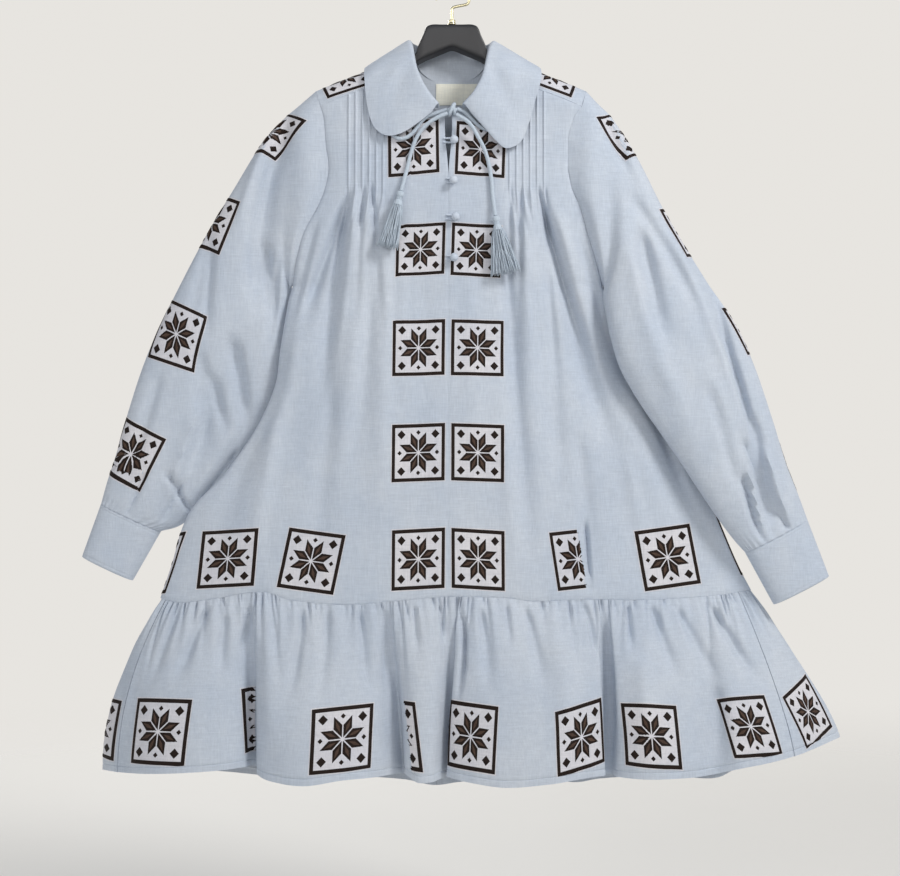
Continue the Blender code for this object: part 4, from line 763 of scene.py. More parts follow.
def natural(places, values):
    """A rounded curve through values that may turn back, with its ends left free."""
    slopes = []
    last = len(values) - 1
    for i in range(last + 1):
        low = max(i - 1, 0)
        high = min(i + 1, last)
        slopes.append((values[high] - values[low]) / (places[high] - places[low]))

    def read(at):
        i = clamp(bisect.bisect_right(places, at) - 1, 0, last - 1)
        width = places[i + 1] - places[i]
        t = clamp((at - places[i]) / width, 0.0, 1.0)
        rise = values[i + 1] - values[i]
        bend_in = slopes[i] * width - rise
        bend_out = rise - slopes[i + 1] * width
        return values[i] + t * rise + t * (1 - t) * ((1 - t) * bend_in + t * bend_out)

    return read


# Collar: the neck seam, the roll and the leaf's edge at each station round the neck,
# and how far the leaf's middle stands off the cloth under it
CollarRow = namedtuple(
    "CollarRow", "neck_x neck_y neck_z roll_x roll_y roll_z edge_x edge_y edge_z lift")
COLLAR = [
    CollarRow(-15.5, -27, -163.6, -17.5, -36, -160.5, -24.0, -34, -169.5, 8.0),
    CollarRow(-23.0, -27, -160.6, -23.0, -37, -153.5, -40.0, -34, -182.5, 8.0),
    CollarRow(-30.0, -26, -155.0, -28.0, -37, -147.0, -59.0, -34, -194.5, 8.0),
    CollarRow(-37.0, -25, -146.5, -33.5, -36, -138.0, -74.0, -34, -197.8, 8.0),
    CollarRow(-43.6, -23, -135.0, -38.5, -34, -127.5, -86.0, -34, -193.0, 6.8),
    CollarRow(-47.4, -21, -124.0, -43.0, -30, -115.0, -95.0, -32, -181.0, 5.2),
    CollarRow(-48.2, -17, -112.0, -46.5, -23, -100.0, -101.0, -28, -156.0, 4.8),
    CollarRow(-47.5, -9, -97.2, -49.5, -12, -86.0, -103.5, -18, -130.0, 4.6),
    CollarRow(-47.4, 0, -92.3, -52.0, 0, -77.5, -103.7, 0, -111.0, 4.2),
    CollarRow(-46.0, 9, -94.4, -49.0, 13, -78.0, -99.0, 14, -120.0, 4.2),
    CollarRow(-40.0, 18, -105.5, -40.0, 21, -80.0, -82.0, 24, -140.0, 3.4),
    CollarRow(-28.5, 20, -115.8, -27.0, 25, -82.0, -56.0, 28, -153.0, 3.6),
    CollarRow(-14.5, 21, -121.0, -14.0, 27, -83.0, -28.0, 29, -158.0, 3.6),
    CollarRow(-1.2, 21, -122.4, -1.2, 27.5, -83.5, -1.2, 29, -158.5, 3.6),
    CollarRow(12.1, 21, -121.0, 11.6, 27, -83.0, 25.6, 29, -158.0, 3.6),
    CollarRow(26.1, 20, -115.8, 24.6, 25, -82.0, 53.6, 28, -153.0, 3.6),
    CollarRow(37.6, 18, -105.5, 37.6, 21, -80.0, 80.0, 24, -140.0, 3.4),
    CollarRow(43.6, 9, -94.4, 46.6, 13, -78.5, 98.5, 14, -120.0, 5.2),
    CollarRow(45.0, 0, -92.3, 50.5, 0, -78.5, 104.3, 0, -112.0, 5.4),
    CollarRow(45.1, -9, -97.2, 46.5, -12, -87.0, 104.0, -18, -132.0, 5.8),
    CollarRow(45.8, -17, -112.0, 43.0, -23, -100.0, 100.5, -28, -154.0, 5.6),
    CollarRow(45.0, -21, -124.0, 39.5, -30, -115.0, 92.0, -32, -184.0, 5.2),
    CollarRow(41.2, -23, -135.0, 36.0, -34, -127.5, 80.5, -34, -205.0, 6.8),
    CollarRow(34.6, -25, -146.5, 31.0, -36, -138.0, 66.5, -34, -212.5, 8.0),
    CollarRow(27.6, -26, -155.0, 25.5, -37, -147.5, 53.0, -34, -205.0, 8.0),
    CollarRow(20.6, -27, -160.6, 20.0, -37, -154.0, 39.0, -34, -189.5, 8.0),
    CollarRow(13.1, -27, -163.6, 14.5, -36, -160.5, 24.0, -34, -172.0, 8.0),
]
COLLAR_THICKNESS = 2.0 * MM
ROLL = 2.4 * MM
NECK_CENTRE = Vector((SHOULDER_CENTRE, 0.0, -110.0 * MM))


def outside_measure(point):
    """Nought on the body's outer face and more outside it, closed over the shoulders."""
    front = point.y < middle_sheet(point.x, point.z)
    below = shoulder_line(abs(point.x - SHOULDER_CENTRE)) - point.z
    z = min(point.z, point.z + below - SHOULDER_ROUND)
    middle = middle_sheet(point.x, z)
    full = (middle - front_y(point.x, z)) if front else (back_y(point.x, z) - middle)
    lip = max(0.0, 1.0 - below / SHOULDER_ROUND)
    return ((point.y - middle) / full) ** 2 + lip * lip - 1.0


def push_out(point, lift, always):
    """The point moved off the body until it lies lift away from its outer face."""
    step = 0.3 * MM
    for _ in range(4):
        here = outside_measure(point)
        slope = Vector([
            (outside_measure(point + Vector(axis) * step) - here) / step
            for axis in ((1, 0, 0), (0, 1, 0), (0, 0, 1))
        ])
        away = here / slope.length
        if away >= lift and not always:
            return point
        point = point + slope.normalized() * (lift - away)
    return point


def collar_section(row):
    """The middle line of the collar at a station, from the neck seam to the leaf's edge."""
    neck = Vector((row.neck_x, row.neck_y, row.neck_z)) * MM
    roll = Vector((row.roll_x, row.roll_y, row.roll_z)) * MM
    edge = push_out(Vector((row.edge_x, row.edge_y, row.edge_z)) * MM, row.lift * MM, True)
    stand = (roll - neck).normalized()
    fall = (edge - roll).normalized()
    away = Vector((roll.x - NECK_CENTRE.x, roll.y, 0.0)).normalized()
    outward = fall - stand * fall.dot(stand) + away * 0.35
    outward -= stand * outward.dot(stand)
    outward.normalize()
    inner_side = roll - stand * ROLL - outward * ROLL * 0.9
    outer_side = roll + (outward + fall) * ROLL * 0.85
    line = [neck, inner_side, roll, outer_side]
    for share in (0.35, 0.7):
        line.append(push_out(outer_side.lerp(edge, share), row.lift * MM * mix(1.25, 1.0, share), False))
    line.append(edge)
    return line


# Buttons, loops, tie and tassels
Button = namedtuple("Button", "x z")
BUTTONS = [
    Button(2.9, -201.9),
    Button(1.8, -250.0),
    Button(4.1, -293.4),
    Button(2.4, -341.4),
]
BUTTON_RADIUS = 4.4 * MM
SHANK_RADIUS = 1.3 * MM
SHANK_HEIGHT = 2.2 * MM
LOOP_RADIUS = 0.9 * MM
BUTTON_GAP = 0.35 * MM
CORD_RADIUS = 2.4 * MM

# The tie's routes: x, z and the lift of the cord's middle off the front
TiePoint = namedtuple("TiePoint", "x z lift")
TAIL_LEFT = [
    TiePoint(-5.3, -171.5, 11.2), TiePoint(-14.4, -175.0, 11.0), TiePoint(-30.0, -184.6, 9.0),
    TiePoint(-41.0, -198.0, 6.0), TiePoint(-48.0, -215.8, 3.2), TiePoint(-54.0, -239.8, 3.5),
    TiePoint(-60.0, -263.0, 7.0),
]
TAIL_RIGHT = [
    TiePoint(5.0, -172.8, 11.0), TiePoint(20.4, -183.4, 12.5), TiePoint(31.2, -200.2, 10.0),
    TiePoint(39.6, -217.0, 6.0), TiePoint(45.6, -242.2, 3.2), TiePoint(48.0, -268.6, 3.5),
    TiePoint(51.0, -292.0, 7.0),
]
RUN_LEFT = [
    TiePoint(-5.8, -166.0, 6.2), TiePoint(-14.0, -168.5, 4.6), TiePoint(-25.0, -172.0, 4.0),
    TiePoint(-34.0, -177.0, 3.4), TiePoint(-41.0, -187.0, 3.2), TiePoint(-50.0, -196.5, 3.2),
    TiePoint(-60.0, -200.6, 3.2), TiePoint(-70.0, -196.0, 3.2),
]
RUN_RIGHT = [
    TiePoint(5.6, -165.0, 6.2), TiePoint(13.0, -167.5, 4.6), TiePoint(22.0, -175.5, 3.6),
    TiePoint(34.0, -186.5, 3.2), TiePoint(46.0, -190.0, 3.2),
]

# The tassels' tips and half their spread at the tip
Tassel = namedtuple("Tassel", "side x z half_spread")
TASSELS = [Tassel("left", -76.0, -331.0, 13.0), Tassel("right", 63.5, -362.0, 19.0)]
TASSEL_STAND_OFF = 8.5 * MM
TASSEL_GAP = 0.35 * MM
TASSEL_STRANDS = 118
TASSEL_HEAD = 15.0 * MM
GOLDEN_TURN = 2.39996
KNOT_X = 0.3 * MM
KNOT_Z = -166.6 * MM


def tie_route(points, spacing=9.0 * MM):
    """Points at even steps along a smooth curve through the route."""
    where = [Vector((p.x * MM, front_y(p.x * MM, p.z * MM) - p.lift * MM, p.z * MM)) for p in points]
    length = [0.0]
    for a, b in zip(where, where[1:]):
        length.append(length[-1] + (b - a).length)
    curves = [natural(length, [point[axis] for point in where]) for axis in range(3)]
    steps = max(3, round(length[-1] / spacing))
    return [Vector([curve(length[-1] * step / steps) for curve in curves]) for step in range(steps + 1)]


# Hanger: the body's top and bottom edges against the distance from the hook
HangerRow = namedtuple("HangerRow", "x top bottom depth")
HANGER = [
    HangerRow(0, -58.6, -85.8, 7.0),
    HangerRow(12, -58.6, -90.0, 7.0),
    HangerRow(24, -58.6, -95.0, 7.0),
    HangerRow(30.5, -60.2, -97.6, 7.0),
    HangerRow(35, -67.0, -99.8, 7.0),
    HangerRow(38.5, -77.0, -101.6, 6.8),
    HangerRow(41, -90.0, -103.0, 6.6),
    HangerRow(43.5, -98.5, -104.6, 6.4),
    HangerRow(53, -95.0, -108.6, 6.6),
    HangerRow(85, -106.0, -122.0, 7.2),
    HangerRow(120, -120.0, -138.5, 8.4),
    HangerRow(143, -129.0, -149.0, 9.0),
    HangerRow(151, -136.0, -150.5, 7.0),
    HangerRow(154, -140.0, -148.5, 3.0),
]
ARM_ARCH = 15.0 * MM


# Materials
class Shader:
    """A small helper that builds a node tree one node at a time."""

    def __init__(self, name):
        self.material = bpy.data.materials.new(name)
        self.material.use_nodes = True
        self.tree = self.material.node_tree
        self.surface = self.tree.nodes["Principled BSDF"]
        self.place = self.tree.nodes.new("ShaderNodeTexCoord").outputs["Object"]

    def node(self, kind, links, **values):
        made = self.tree.nodes.new(kind)
        for key, value in values.items():
            if key in made.inputs:
                made.inputs[key].default_value = value
            else:
                setattr(made, key, value)
        for key, source in links.items():
            self.tree.links.new(source, made.inputs[key])
        return made

    def noise(self, scale, stretch=(1, 1, 1), detail=2.0, roughness=0.5):
        mapping = self.node("ShaderNodeMapping", {"Vector": self.place})
        mapping.inputs["Scale"].default_value = stretch
        made = self.node("ShaderNodeTexNoise", {"Vector": mapping.outputs[0]}, Scale=scale,
                         Detail=detail, Roughness=roughness)
        return made.outputs["Fac"]

    def math(self, operation, first, second):
        made = self.tree.nodes.new("ShaderNodeMath")
        made.operation = operation
        for index, value in enumerate((first, second)):
            if isinstance(value, (int, float)):
                made.inputs[index].default_value = value
            else:
                self.tree.links.new(value, made.inputs[index])
        return made.outputs[0]

    def shades(self, source, low, high, dark, light):
        """Colours from dark to light as the source runs from low to high."""
        ramp = self.node("ShaderNodeValToRGB", {"Fac": source})
        ramp.color_ramp.elements[0].position = low
        ramp.color_ramp.elements[1].position = high
        ramp.color_ramp.elements[0].color = (*dark, 1.0)
        ramp.color_ramp.elements[1].color = (*light, 1.0)
        return ramp.outputs["Color"]

    def multiply(self, first, second):
        made = self.tree.nodes.new("ShaderNodeMix")
        made.data_type = "RGBA"
        made.blend_type = "MULTIPLY"
        made.inputs["Factor"].default_value = 1.0
        self.tree.links.new(first, made.inputs[6])
        self.tree.links.new(second, made.inputs[7])
        return made.outputs[2]

    def colour(self, source):
        self.tree.links.new(source, self.surface.inputs["Base Color"])

    def bump(self, height, strength, distance):
        made = self.node("ShaderNodeBump", {"Height": height}, Strength=strength, Distance=distance)
        self.tree.links.new(made.outputs["Normal"], self.surface.inputs["Normal"])

    def set(self, **values):
        for key, value in values.items():
            self.surface.inputs[key.replace("_", " ")].default_value = value


def scaled(colour, by):
    return tuple(min(1.0, value * by) for value in colour)


def linen(name, base, contrast=1.0):
    """Plain woven linen: fine threads both ways, uneven slubs and soft mottling."""
    made = Shader(name)
    down = made.noise(1.0, (1500, 1500, 60), 3.0)
    across = made.noise(1.0, (60, 60, 1500), 3.0)
    slub = made.noise(1.0, (560, 560, 70), 2.0)
    weft = made.noise(1.0, (75, 75, 560), 2.0)
    mottle = made.noise(15.0, (1, 1, 0.6), 5.0, 0.62)
    threads = made.math("ADD", made.math("MULTIPLY", down, 0.5), made.math("MULTIPLY", across, 0.5))
    fine = made.shades(threads, 0.36, 0.64,
                       scaled(base, 1 - 0.075 * contrast), scaled(base, 1 + 0.05 * contrast))
    streaks = made.math("ADD", made.math("MULTIPLY", slub, 0.5), made.math("MULTIPLY", weft, 0.5))
    streak = made.shades(streaks, 0.40, 0.68, (0.955, 0.96, 0.965), (1.07, 1.065, 1.05))
    patch = made.shades(mottle, 0.36, 0.66, (0.905, 0.925, 0.955), (1.02, 1.01, 1.0))
    made.colour(made.multiply(made.multiply(fine, streak), patch))
    made.bump(made.math("ADD", threads, made.math("MULTIPLY", streaks, 0.8)), 0.4, 0.0008)
    made.set(Roughness=0.88, Sheen_Weight=0.15, Sheen_Roughness=0.5, Specular_IOR_Level=0.25)
    return made.material


def thread(name, base, roughness=0.6):
    """Satin stitches: fine ridges that run along one way."""
    made = Shader(name)
    ridges = made.noise(1.0, (2600, 900, 900), 2.0)
    wander = made.noise(160.0, (1, 1, 1), 2.0)
    strands = made.math("ADD", made.math("MULTIPLY", ridges, 0.6), made.math("MULTIPLY", wander, 0.4))
    made.colour(made.shades(strands, 0.35, 0.65, scaled(base, 0.7), scaled(base, 1.5)))
    made.bump(ridges, 0.6, 0.0004)
    made.set(Roughness=roughness, Specular_IOR_Level=0.15)
    return made.material


def yarn(name, base):
    """Soft twisted yarn for the tie and the tassels."""
    made = Shader(name)
    fibre = made.noise(1.0, (2400, 2400, 300), 2.0)
    mottle = made.noise(70.0, (1, 1, 0.4), 2.0)
    made.colour(made.multiply(
        made.shades(fibre, 0.3, 0.7, scaled(base, 0.86), scaled(base, 1.08)),
        made.shades(mottle, 0.3, 0.7, (0.93, 0.94, 0.95), (1.0, 1.0, 1.0))))
    made.bump(fibre, 0.5, 0.0005)
    made.set(Roughness=0.8, Sheen_Weight=0.25, Specular_IOR_Level=0.25)
    return made.material


def satin_plastic(name, base):
    made = Shader(name)
    grain = made.noise(900.0, (1, 1, 1), 2.0)
    wear = made.noise(25.0, (1, 1, 1), 3.0)
    made.colour(made.shades(wear, 0.35, 0.7, scaled(base, 0.85), scaled(base, 1.25)))
    made.bump(grain, 0.15, 0.0002)
    made.set(Roughness=0.38, Specular_IOR_Level=0.5)
    return made.material


def gilt(name, base):
    made = Shader(name)
    brushed = made.noise(1.0, (900, 900, 200), 2.0)
    made.colour(made.shades(brushed, 0.3, 0.7, scaled(base, 0.92), scaled(base, 1.05)))
    made.bump(brushed, 0.08, 0.0002)
    made.set(Roughness=0.24, Metallic=1.0)
    return made.material


def floor_paper(size):
    """Pale paper that fades out before its rim, so the floor shows no edge."""
    made = Shader("floor_paper")
    cloud = made.noise(3.0, (1, 1, 1), 2.0)
    base = (0.86, 0.84, 0.80)
    made.colour(made.shades(cloud, 0.3, 0.7, scaled(base, 0.99), base))
    made.set(Roughness=0.95, Specular_IOR_Level=0.1)
    flat = made.node("ShaderNodeVectorMath", {0: made.place}, operation="MULTIPLY")
    flat.inputs[1].default_value = (1.0, 1.0, 0.0)
    away = made.node("ShaderNodeVectorMath", {0: flat.outputs[0]}, operation="LENGTH").outputs["Value"]
    rim = made.node("ShaderNodeMapRange", {"Value": away})
    rim.interpolation_type = "SMOOTHSTEP"
    rim.inputs["From Min"].default_value = 0.5
    rim.inputs["From Max"].default_value = size * 0.9
    clear = made.tree.nodes.new("ShaderNodeBsdfTransparent")
    mixed = made.node("ShaderNodeMixShader", {"Fac": rim.outputs["Result"]})
    made.tree.links.new(made.surface.outputs[0], mixed.inputs[1])
    made.tree.links.new(clear.outputs[0], mixed.inputs[2])
    made.tree.links.new(mixed.outputs[0], made.tree.nodes["Material Output"].inputs["Surface"])
    return made.material


CLOTH_COLOUR = (0.508, 0.560, 0.640)
GROUND_COLOUR = (0.630, 0.625, 0.665)
THREAD_COLOUR = (0.0125, 0.0070, 0.0052)
CORD_COLOUR = (0.500, 0.575, 0.660)
LABEL_COLOUR = (0.880, 0.880, 0.790)
CLOTH_LOOK = linen("linen_blue", CLOTH_COLOUR)
GROUND_LOOK = linen("linen_ground", GROUND_COLOUR, 1.4)
THREAD_LOOK = thread("embroidery_thread", THREAD_COLOUR)
# Painted highlight: a lighter brown laid in thin strips along the crest of each raised star point, where
# light catches the satin stitches
PAINTED_HIGHLIGHT_LOOK = thread("embroidery_painted_highlight", (0.062, 0.038, 0.028))
# The buttons and loops are the dress's own cloth painted 1.1 times lighter: a painted highlight on the
# small round shapes
LIT_BUTTON_LOOK = linen("linen_button_painted_highlight", scaled(CLOTH_COLOUR, 1.1), 0.6)
CORD_LOOK = yarn("cord_yarn", CORD_COLOUR)
LABEL_LOOK = linen("label_tape", LABEL_COLOUR, 0.5)
HANGER_LOOK = satin_plastic("hanger_satin", (0.021, 0.021, 0.024))
HOOK_LOOK = gilt("hook_gilt", (0.86, 0.78, 0.52))


# Camera, light and stage
def setting():
    lens = bpy.data.cameras.new("camera")
    lens.sensor_width = 36.0
    lens.lens = 36.0 * 2.0 / 1.08
    lens.clip_end = 50.0
    camera = bpy.data.objects.new("camera", lens)
    camera.location = (VIEW_X, -VIEW_DISTANCE, VIEW_Z)
    camera.rotation_euler = (math.radians(90), 0, 0)
    bpy.context.scene.collection.objects.link(camera)
    bpy.context.scene.camera = camera

    bpy.context.scene.view_settings.view_transform = "Standard"
    world = bpy.data.worlds.new("studio")
    world.use_nodes = True
    tree = world.node_tree
    backdrop = tree.nodes["Background"]
    direction = tree.nodes.new("ShaderNodeTexCoord").outputs["Generated"]
    split = tree.nodes.new("ShaderNodeSeparateXYZ")
    tree.links.new(direction, split.inputs[0])
    height = tree.nodes.new("ShaderNodeMath")
    height.operation = "ABSOLUTE"
    tree.links.new(split.outputs["Z"], height.inputs[0])
    ramp = tree.nodes.new("ShaderNodeValToRGB")
    ramp.color_ramp.elements[0].position = 0.27
    ramp.color_ramp.elements[0].color = (0.80, 0.78, 0.745, 1.0)
    ramp.color_ramp.elements[1].position = 0.48
    ramp.color_ramp.elements[1].color = (0.22, 0.235, 0.26, 1.0)
    tree.links.new(height.outputs[0], ramp.inputs["Fac"])
    tree.links.new(ramp.outputs["Color"], backdrop.inputs["Color"])
    bpy.context.scene.world = world

    Lamp = namedtuple("Lamp", "name x y z size power colour")
    lamps = [
        Lamp("key", 1.45, -1.25, 1.0, 0.7, 34.5, (1.0, 0.985, 0.96)),
        Lamp("fill", -1.7, -2.1, 0.2, 1.4, 7.0, (0.95, 0.975, 1.0)),
        Lamp("front", 0.2, -2.3, 0.45, 1.0, 6.0, (1.0, 1.0, 1.0)),
        Lamp("back_light", -0.8, 2.4, 0.7, 1.2, 34.0, (1.0, 1.0, 1.0)),
    ]
    target = Vector((0.0, 0.0, -0.52))
    for lamp in lamps:
        light = bpy.data.lights.new(lamp.name, "AREA")
        light.shape = "DISK"
        light.size = lamp.size
        light.energy = lamp.power
        light.color = lamp.colour
        item = bpy.data.objects.new(lamp.name, light)
        item.location = (lamp.x, lamp.y, lamp.z)
        item.rotation_euler = (target - item.location).to_track_quat("-Z", "Y").to_euler()
        bpy.context.scene.collection.objects.link(item)

    size = 3.0
    level = -1.25
    corners = [(-size, -size, level), (size, -size, level), (size, size, level), (-size, size, level)]
    floor = mesh_object("studio_floor", corners, [(0, 1, 2, 3)], floor_paper(size))


setting()


# The tie: its routes repeat the solids' own, and it is made before the cloth
def rope(name, points, radius, made, sides=14, twist=5.5 * MM, depth=0.10):
    """A twisted cord along its points, as a closed mesh tube with rounded ends."""
    dense = refine_line(points, 12)
    rings = []
    run = 0.0
    turned = None
    for i, point in enumerate(dense):
        ahead = dense[min(i + 1, len(dense) - 1)] - dense[max(i - 1, 0)]
        ahead.normalize()
        if i:
            run += (point - dense[i - 1]).length
        if turned is None:
            turned = ahead.orthogonal().normalized()
        turned = (turned - ahead * turned.dot(ahead)).normalized()
        other = ahead.cross(turned)
        ring = []
        for k in range(sides):
            angle = 2 * math.pi * k / sides
            lift = 1.0 - depth + depth * abs(math.cos(1.5 * angle - math.pi * run / twist))
            ring.append(point + (turned * math.cos(angle) + other * math.sin(angle)) * radius * lift)
        rings.append(ring)
    return solid_rings(name, rings, made), dense


def tie_cords():
    routes = {
        "tie_tail_left": (TAIL_LEFT, "fitting"), "tie_tail_right": (TAIL_RIGHT, "fitting"),
        "tie_run_left": (RUN_LEFT, "object"), "tie_run_right": (RUN_RIGHT, "object"),
    }
    made = {}
    for name, (route, far_end) in routes.items():
        points = tie_route(route)
        item, path = rope("cord_" + name, points, CORD_RADIUS, CORD_LOOK)
        place_piece(item, "cord", name)
        made[name] = (item, path, far_end)
    return made


def tie_knot():
    """The knot: a small core with one turn of the cord slanting round it."""
    middle = front_y(-14 * MM, KNOT_Z) - 7.6 * MM
    rings = []
    for step in range(1, 20):
        angle = math.pi * step / 20
        ring = []
        for k in range(24):
            turn = 2 * math.pi * k / 24
            ring.append(Vector((KNOT_X + 6.0 * MM * math.cos(angle),
                                middle + 3.4 * MM * math.sin(angle) * math.sin(turn),
                                KNOT_Z + 3.6 * MM * math.sin(angle) * math.cos(turn))))
        rings.append(ring)
    core = solid_rings("cord_knot", rings, CORD_LOOK)
    place_piece(core, "cord", "tie_knot")
    turns = []
    for number, (lean, tall, aside) in enumerate(((0.50, 7.0, -0.6), (-0.22, 5.6, 1.8))):
        upward = Vector((lean, 0, 1)).normalized()
        path = []
        for step in range(21):
            angle = math.radians(100 + 17 * step)
            path.append(Vector((KNOT_X + aside * MM, middle, KNOT_Z + 0.5 * MM))
                        + upward * tall * MM * math.sin(angle)
                        + Vector((0, 1, 0)) * 4.6 * MM * math.cos(angle - math.pi))
        radius = CORD_RADIUS * (0.95 - 0.2 * number)
        item, _ = rope("cord_knot_turn_%d" % (number + 1), path, radius, CORD_LOOK)
        place_piece(item, "cord")
        turns.append(item)
    return [core] + turns


def tassel(hung, last):
    """A bound head over a skirt of fine strands that fan out and hang."""
    name = "tassel_" + hung.side
    under = []
    for aside in (-18, -9, 0, 9, 18):
        for z in (-285, -305, -325, -345):
            under.append(front_y((hung.x + aside) * MM, z * MM))
    tip = Vector((hung.x * MM, min(under) - TASSEL_STAND_OFF, hung.z * MM))
    top = last + (tip - last).normalized() * TASSEL_GAP
    axis = (tip - top).normalized()
    across = Vector((1, 0, 0)) - axis * axis.x
    across.normalize()
    deep = axis.cross(across)
    profile = [
        (0.0, 2.0), (0.6, 3.2), (2.0, 4.3), (4.0, 4.7), (6.0, 4.3), (7.2, 3.6), (7.6, 3.2), (8.2, 3.7),
        (8.9, 3.2), (9.6, 3.7), (10.3, 3.2), (11.0, 3.8), (13.0, 4.8), (15.5, 5.3), (17.0, 5.4),
    ]
    rings = []
    for distance, radius in profile:
        ring = []
        for k in range(36):
            turn = 2 * math.pi * k / 36
            lobed = radius * (1.0 + 0.035 * math.cos(9 * turn))
            outward = across * math.cos(turn) + deep * math.sin(turn)
            ring.append(top + axis * distance * MM + outward * lobed * MM)
        rings.append(ring)
    head = solid_rings(name + "_head", rings, CORD_LOOK)
    place_piece(head, "cord", name)
    span = (tip - top).length - TASSEL_HEAD
    mesh = bmesh.new()
    for number in range(TASSEL_STRANDS):
        spot = math.sqrt((number + 0.5) / TASSEL_STRANDS)
        turn = number * GOLDEN_TURN
        aside = spot * math.cos(turn)
        forward = spot * math.sin(turn)
        length = span * (0.93 + 0.07 * gather_hash(number + 3))
        sway = (gather_hash(number + 57) - 0.5) * 3.0 * MM
        phase = gather_hash(number + 91) * 6.28
        radius = (0.42 + 0.2 * gather_hash(number + 17)) * MM
        layers = []
        for step in range(11):
            share = step / 10
            bow = share ** 0.8
            centre = top + axis * (TASSEL_HEAD + length * share)
            wide = aside * mix(4.9 * MM, hung.half_spread * MM, bow)
            thrown = forward * mix(4.9 * MM, 7.0 * MM, bow)
            centre += across * (wide + sway * math.sin(share * 5 + phase))
            centre += deep * (thrown + 0.4 * sway * math.cos(share * 4 + phase))
            thick = radius * (0.75 if step == 10 else 1.0)
            layers.append([mesh.verts.new(centre + (across * math.cos(a) + deep * math.sin(a)) * thick)
                           for a in (0.0, math.pi / 2, math.pi, 3 * math.pi / 2)])
        for low, high in zip(layers, layers[1:]):
            for k in range(4):
                d = (k + 1) % 4
                mesh.faces.new((low[k], low[d], high[d], high[k]))
        mesh.faces.new(layers[0])
        mesh.faces.new(list(reversed(layers[-1])))
    skirt = add_object(name + "_strands", mesh, CORD_LOOK, 180)
    place_piece(skirt, "cord", name)
    return [head, skirt]


def tie():
    knot = tie_knot()
    cords = tie_cords()
    for name, (item, path, far_end) in cords.items():
        with_pieces = []
        if far_end == "fitting":
            hung = next(row for row in TASSELS if name.endswith(row.side))
            with_pieces = tassel(hung, path[-1])
        if name == "tie_run_left":
            with_pieces = knot


tie()


# Finer folds and the cloth's own unevenness
FINE_FRONT_FOLDS = [
    Fold(-252, -345, -122, -127, -136, 1.8, 4.5, -4.2),
    Fold(-252, -330, -105, -107, -110, 1.6, 4.0, -3.2),
    Fold(-248, -335, -96, -91, -87, 1.6, 4.0, -3.4),
    Fold(-252, -320, -114, -117, -122, 2.2, 4.5, 2.4),
    Fold(-250, -320, -100, -100, -100, 2.0, 4.0, 2.0),
    Fold(-256, -430, -124, -148, -186, 3.0, 7, -4.0),
    Fold(-262, -520, -121, -147, -153, 3.0, 8, -3.8),
    Fold(-256, -450, -106, -110, -116, 2.5, 7, -3.0),
    Fold(-250, -480, -95, -86, -80, 2.5, 7, -3.0),
    Fold(-262, -500, -113, -126, -140, 3.5, 8, 3.0),
    Fold(-252, -335, 102, 109, 121, 1.8, 4.5, -5.0),
    Fold(-252, -330, 110, 114, 118, 1.6, 4.0, -3.0),
    Fold(-252, -330, 83, 81, 79, 1.6, 4.0, -3.2),
    Fold(-252, -325, 70, 69, 68, 1.6, 4.0, -2.4),
    Fold(-252, -325, 92, 94, 97, 2.2, 4.5, 2.2),
    Fold(-256, -480, 103, 130, 172, 3.0, 7, -7.5),
    Fold(-258, -540, 109, 118, 128, 3.0, 8, -3.6),
    Fold(-256, -520, 82, 78, 76, 2.6, 8, -3.2),
    Fold(-256, -460, 69, 68, 72, 2.6, 7, -2.4),
    Fold(-262, -560, 96, 108, 124, 3.5, 9, 3.0),
    Fold(-300, -580, -60, -58, -56, 5, 11, 1.4),
    Fold(-330, -700, 22, 24, 28, 8, 16, 1.6),
    Fold(-330, -720, -30, -34, -40, 8, 18, -1.5),
    Fold(-480, -743, -140, -150, -168, 8, 16, -3.4),
    Fold(-520, -743, -205, -222, -246, 7, 14, 2.8),
    Fold(-520, -743, 62, 68, 76, 6, 14, 2.8),
    Fold(-540, -743, 148, 160, 174, 7, 13, -3.4),
    Fold(-560, -743, 205, 222, 244, 7, 13, 3.0),
    Fold(-470, -650, 226, 254, 292, 6, 9, -7.5),
    Fold(-285, -440, -160, -181, -198, 5, 8, -8.0),
    Fold(-420, -600, -212, -240, -282, 6, 10, -5.0),
    Fold(-648, -746, 158, 161, 164, 2.6, 3.0, -7.5),
    Fold(-300, -520, 150, 178, 224, 5, 9, -5.0),
    Fold(-340, -600, 92, 104, 122, 6, 12, -3.0),
    Fold(-360, -640, -92, -104, -124, 6, 12, -3.0),
]
FINE_LEFT_SLEEVE_FOLDS = [
    Fold(-565, -646, -256, -284, -318, 3.0, 4, -7.0),
    Fold(-505, -655, -298, -322, -346, 6, 8, 4.5),
    Fold(-590, -662, -340, -325, -304, 3.5, 4, -5.0),
    Fold(-470, -620, -345, -368, -392, 6, 8, -3.5),
    Fold(-175, -330, -214, -244, -262, 5, 8, 3.0),
    Fold(-330, -470, -206, -214, -222, 4, 7, -4.0),
    Fold(-430, -560, -262, -250, -246, 7, 9, -7.5),
    Fold(-300, -430, -286, -300, -312, 6, 9, -3.0),
    Fold(-150, -420, -186, -240, -236, 8, 13, -5.0),
    Fold(-470, -560, -290, -276, -268, 5, 7, -4.0),
    Fold(-600, -660, -318, -335, -350, 3, 4, -3.5),
    Fold(-590, -655, -362, -378, -392, 3, 4, -3.0),
    Fold(-215, -430, -212, -249, -230, 4, 6, -5.5),
    Fold(-320, -450, -284, -290, -294, 4, 6, -4.0),
    Fold(-320, -425, -224, -221, -214, 8, 11, -6.5),
    Fold(-440, -600, -300, -292, -306, 8, 12, -4.0),
]
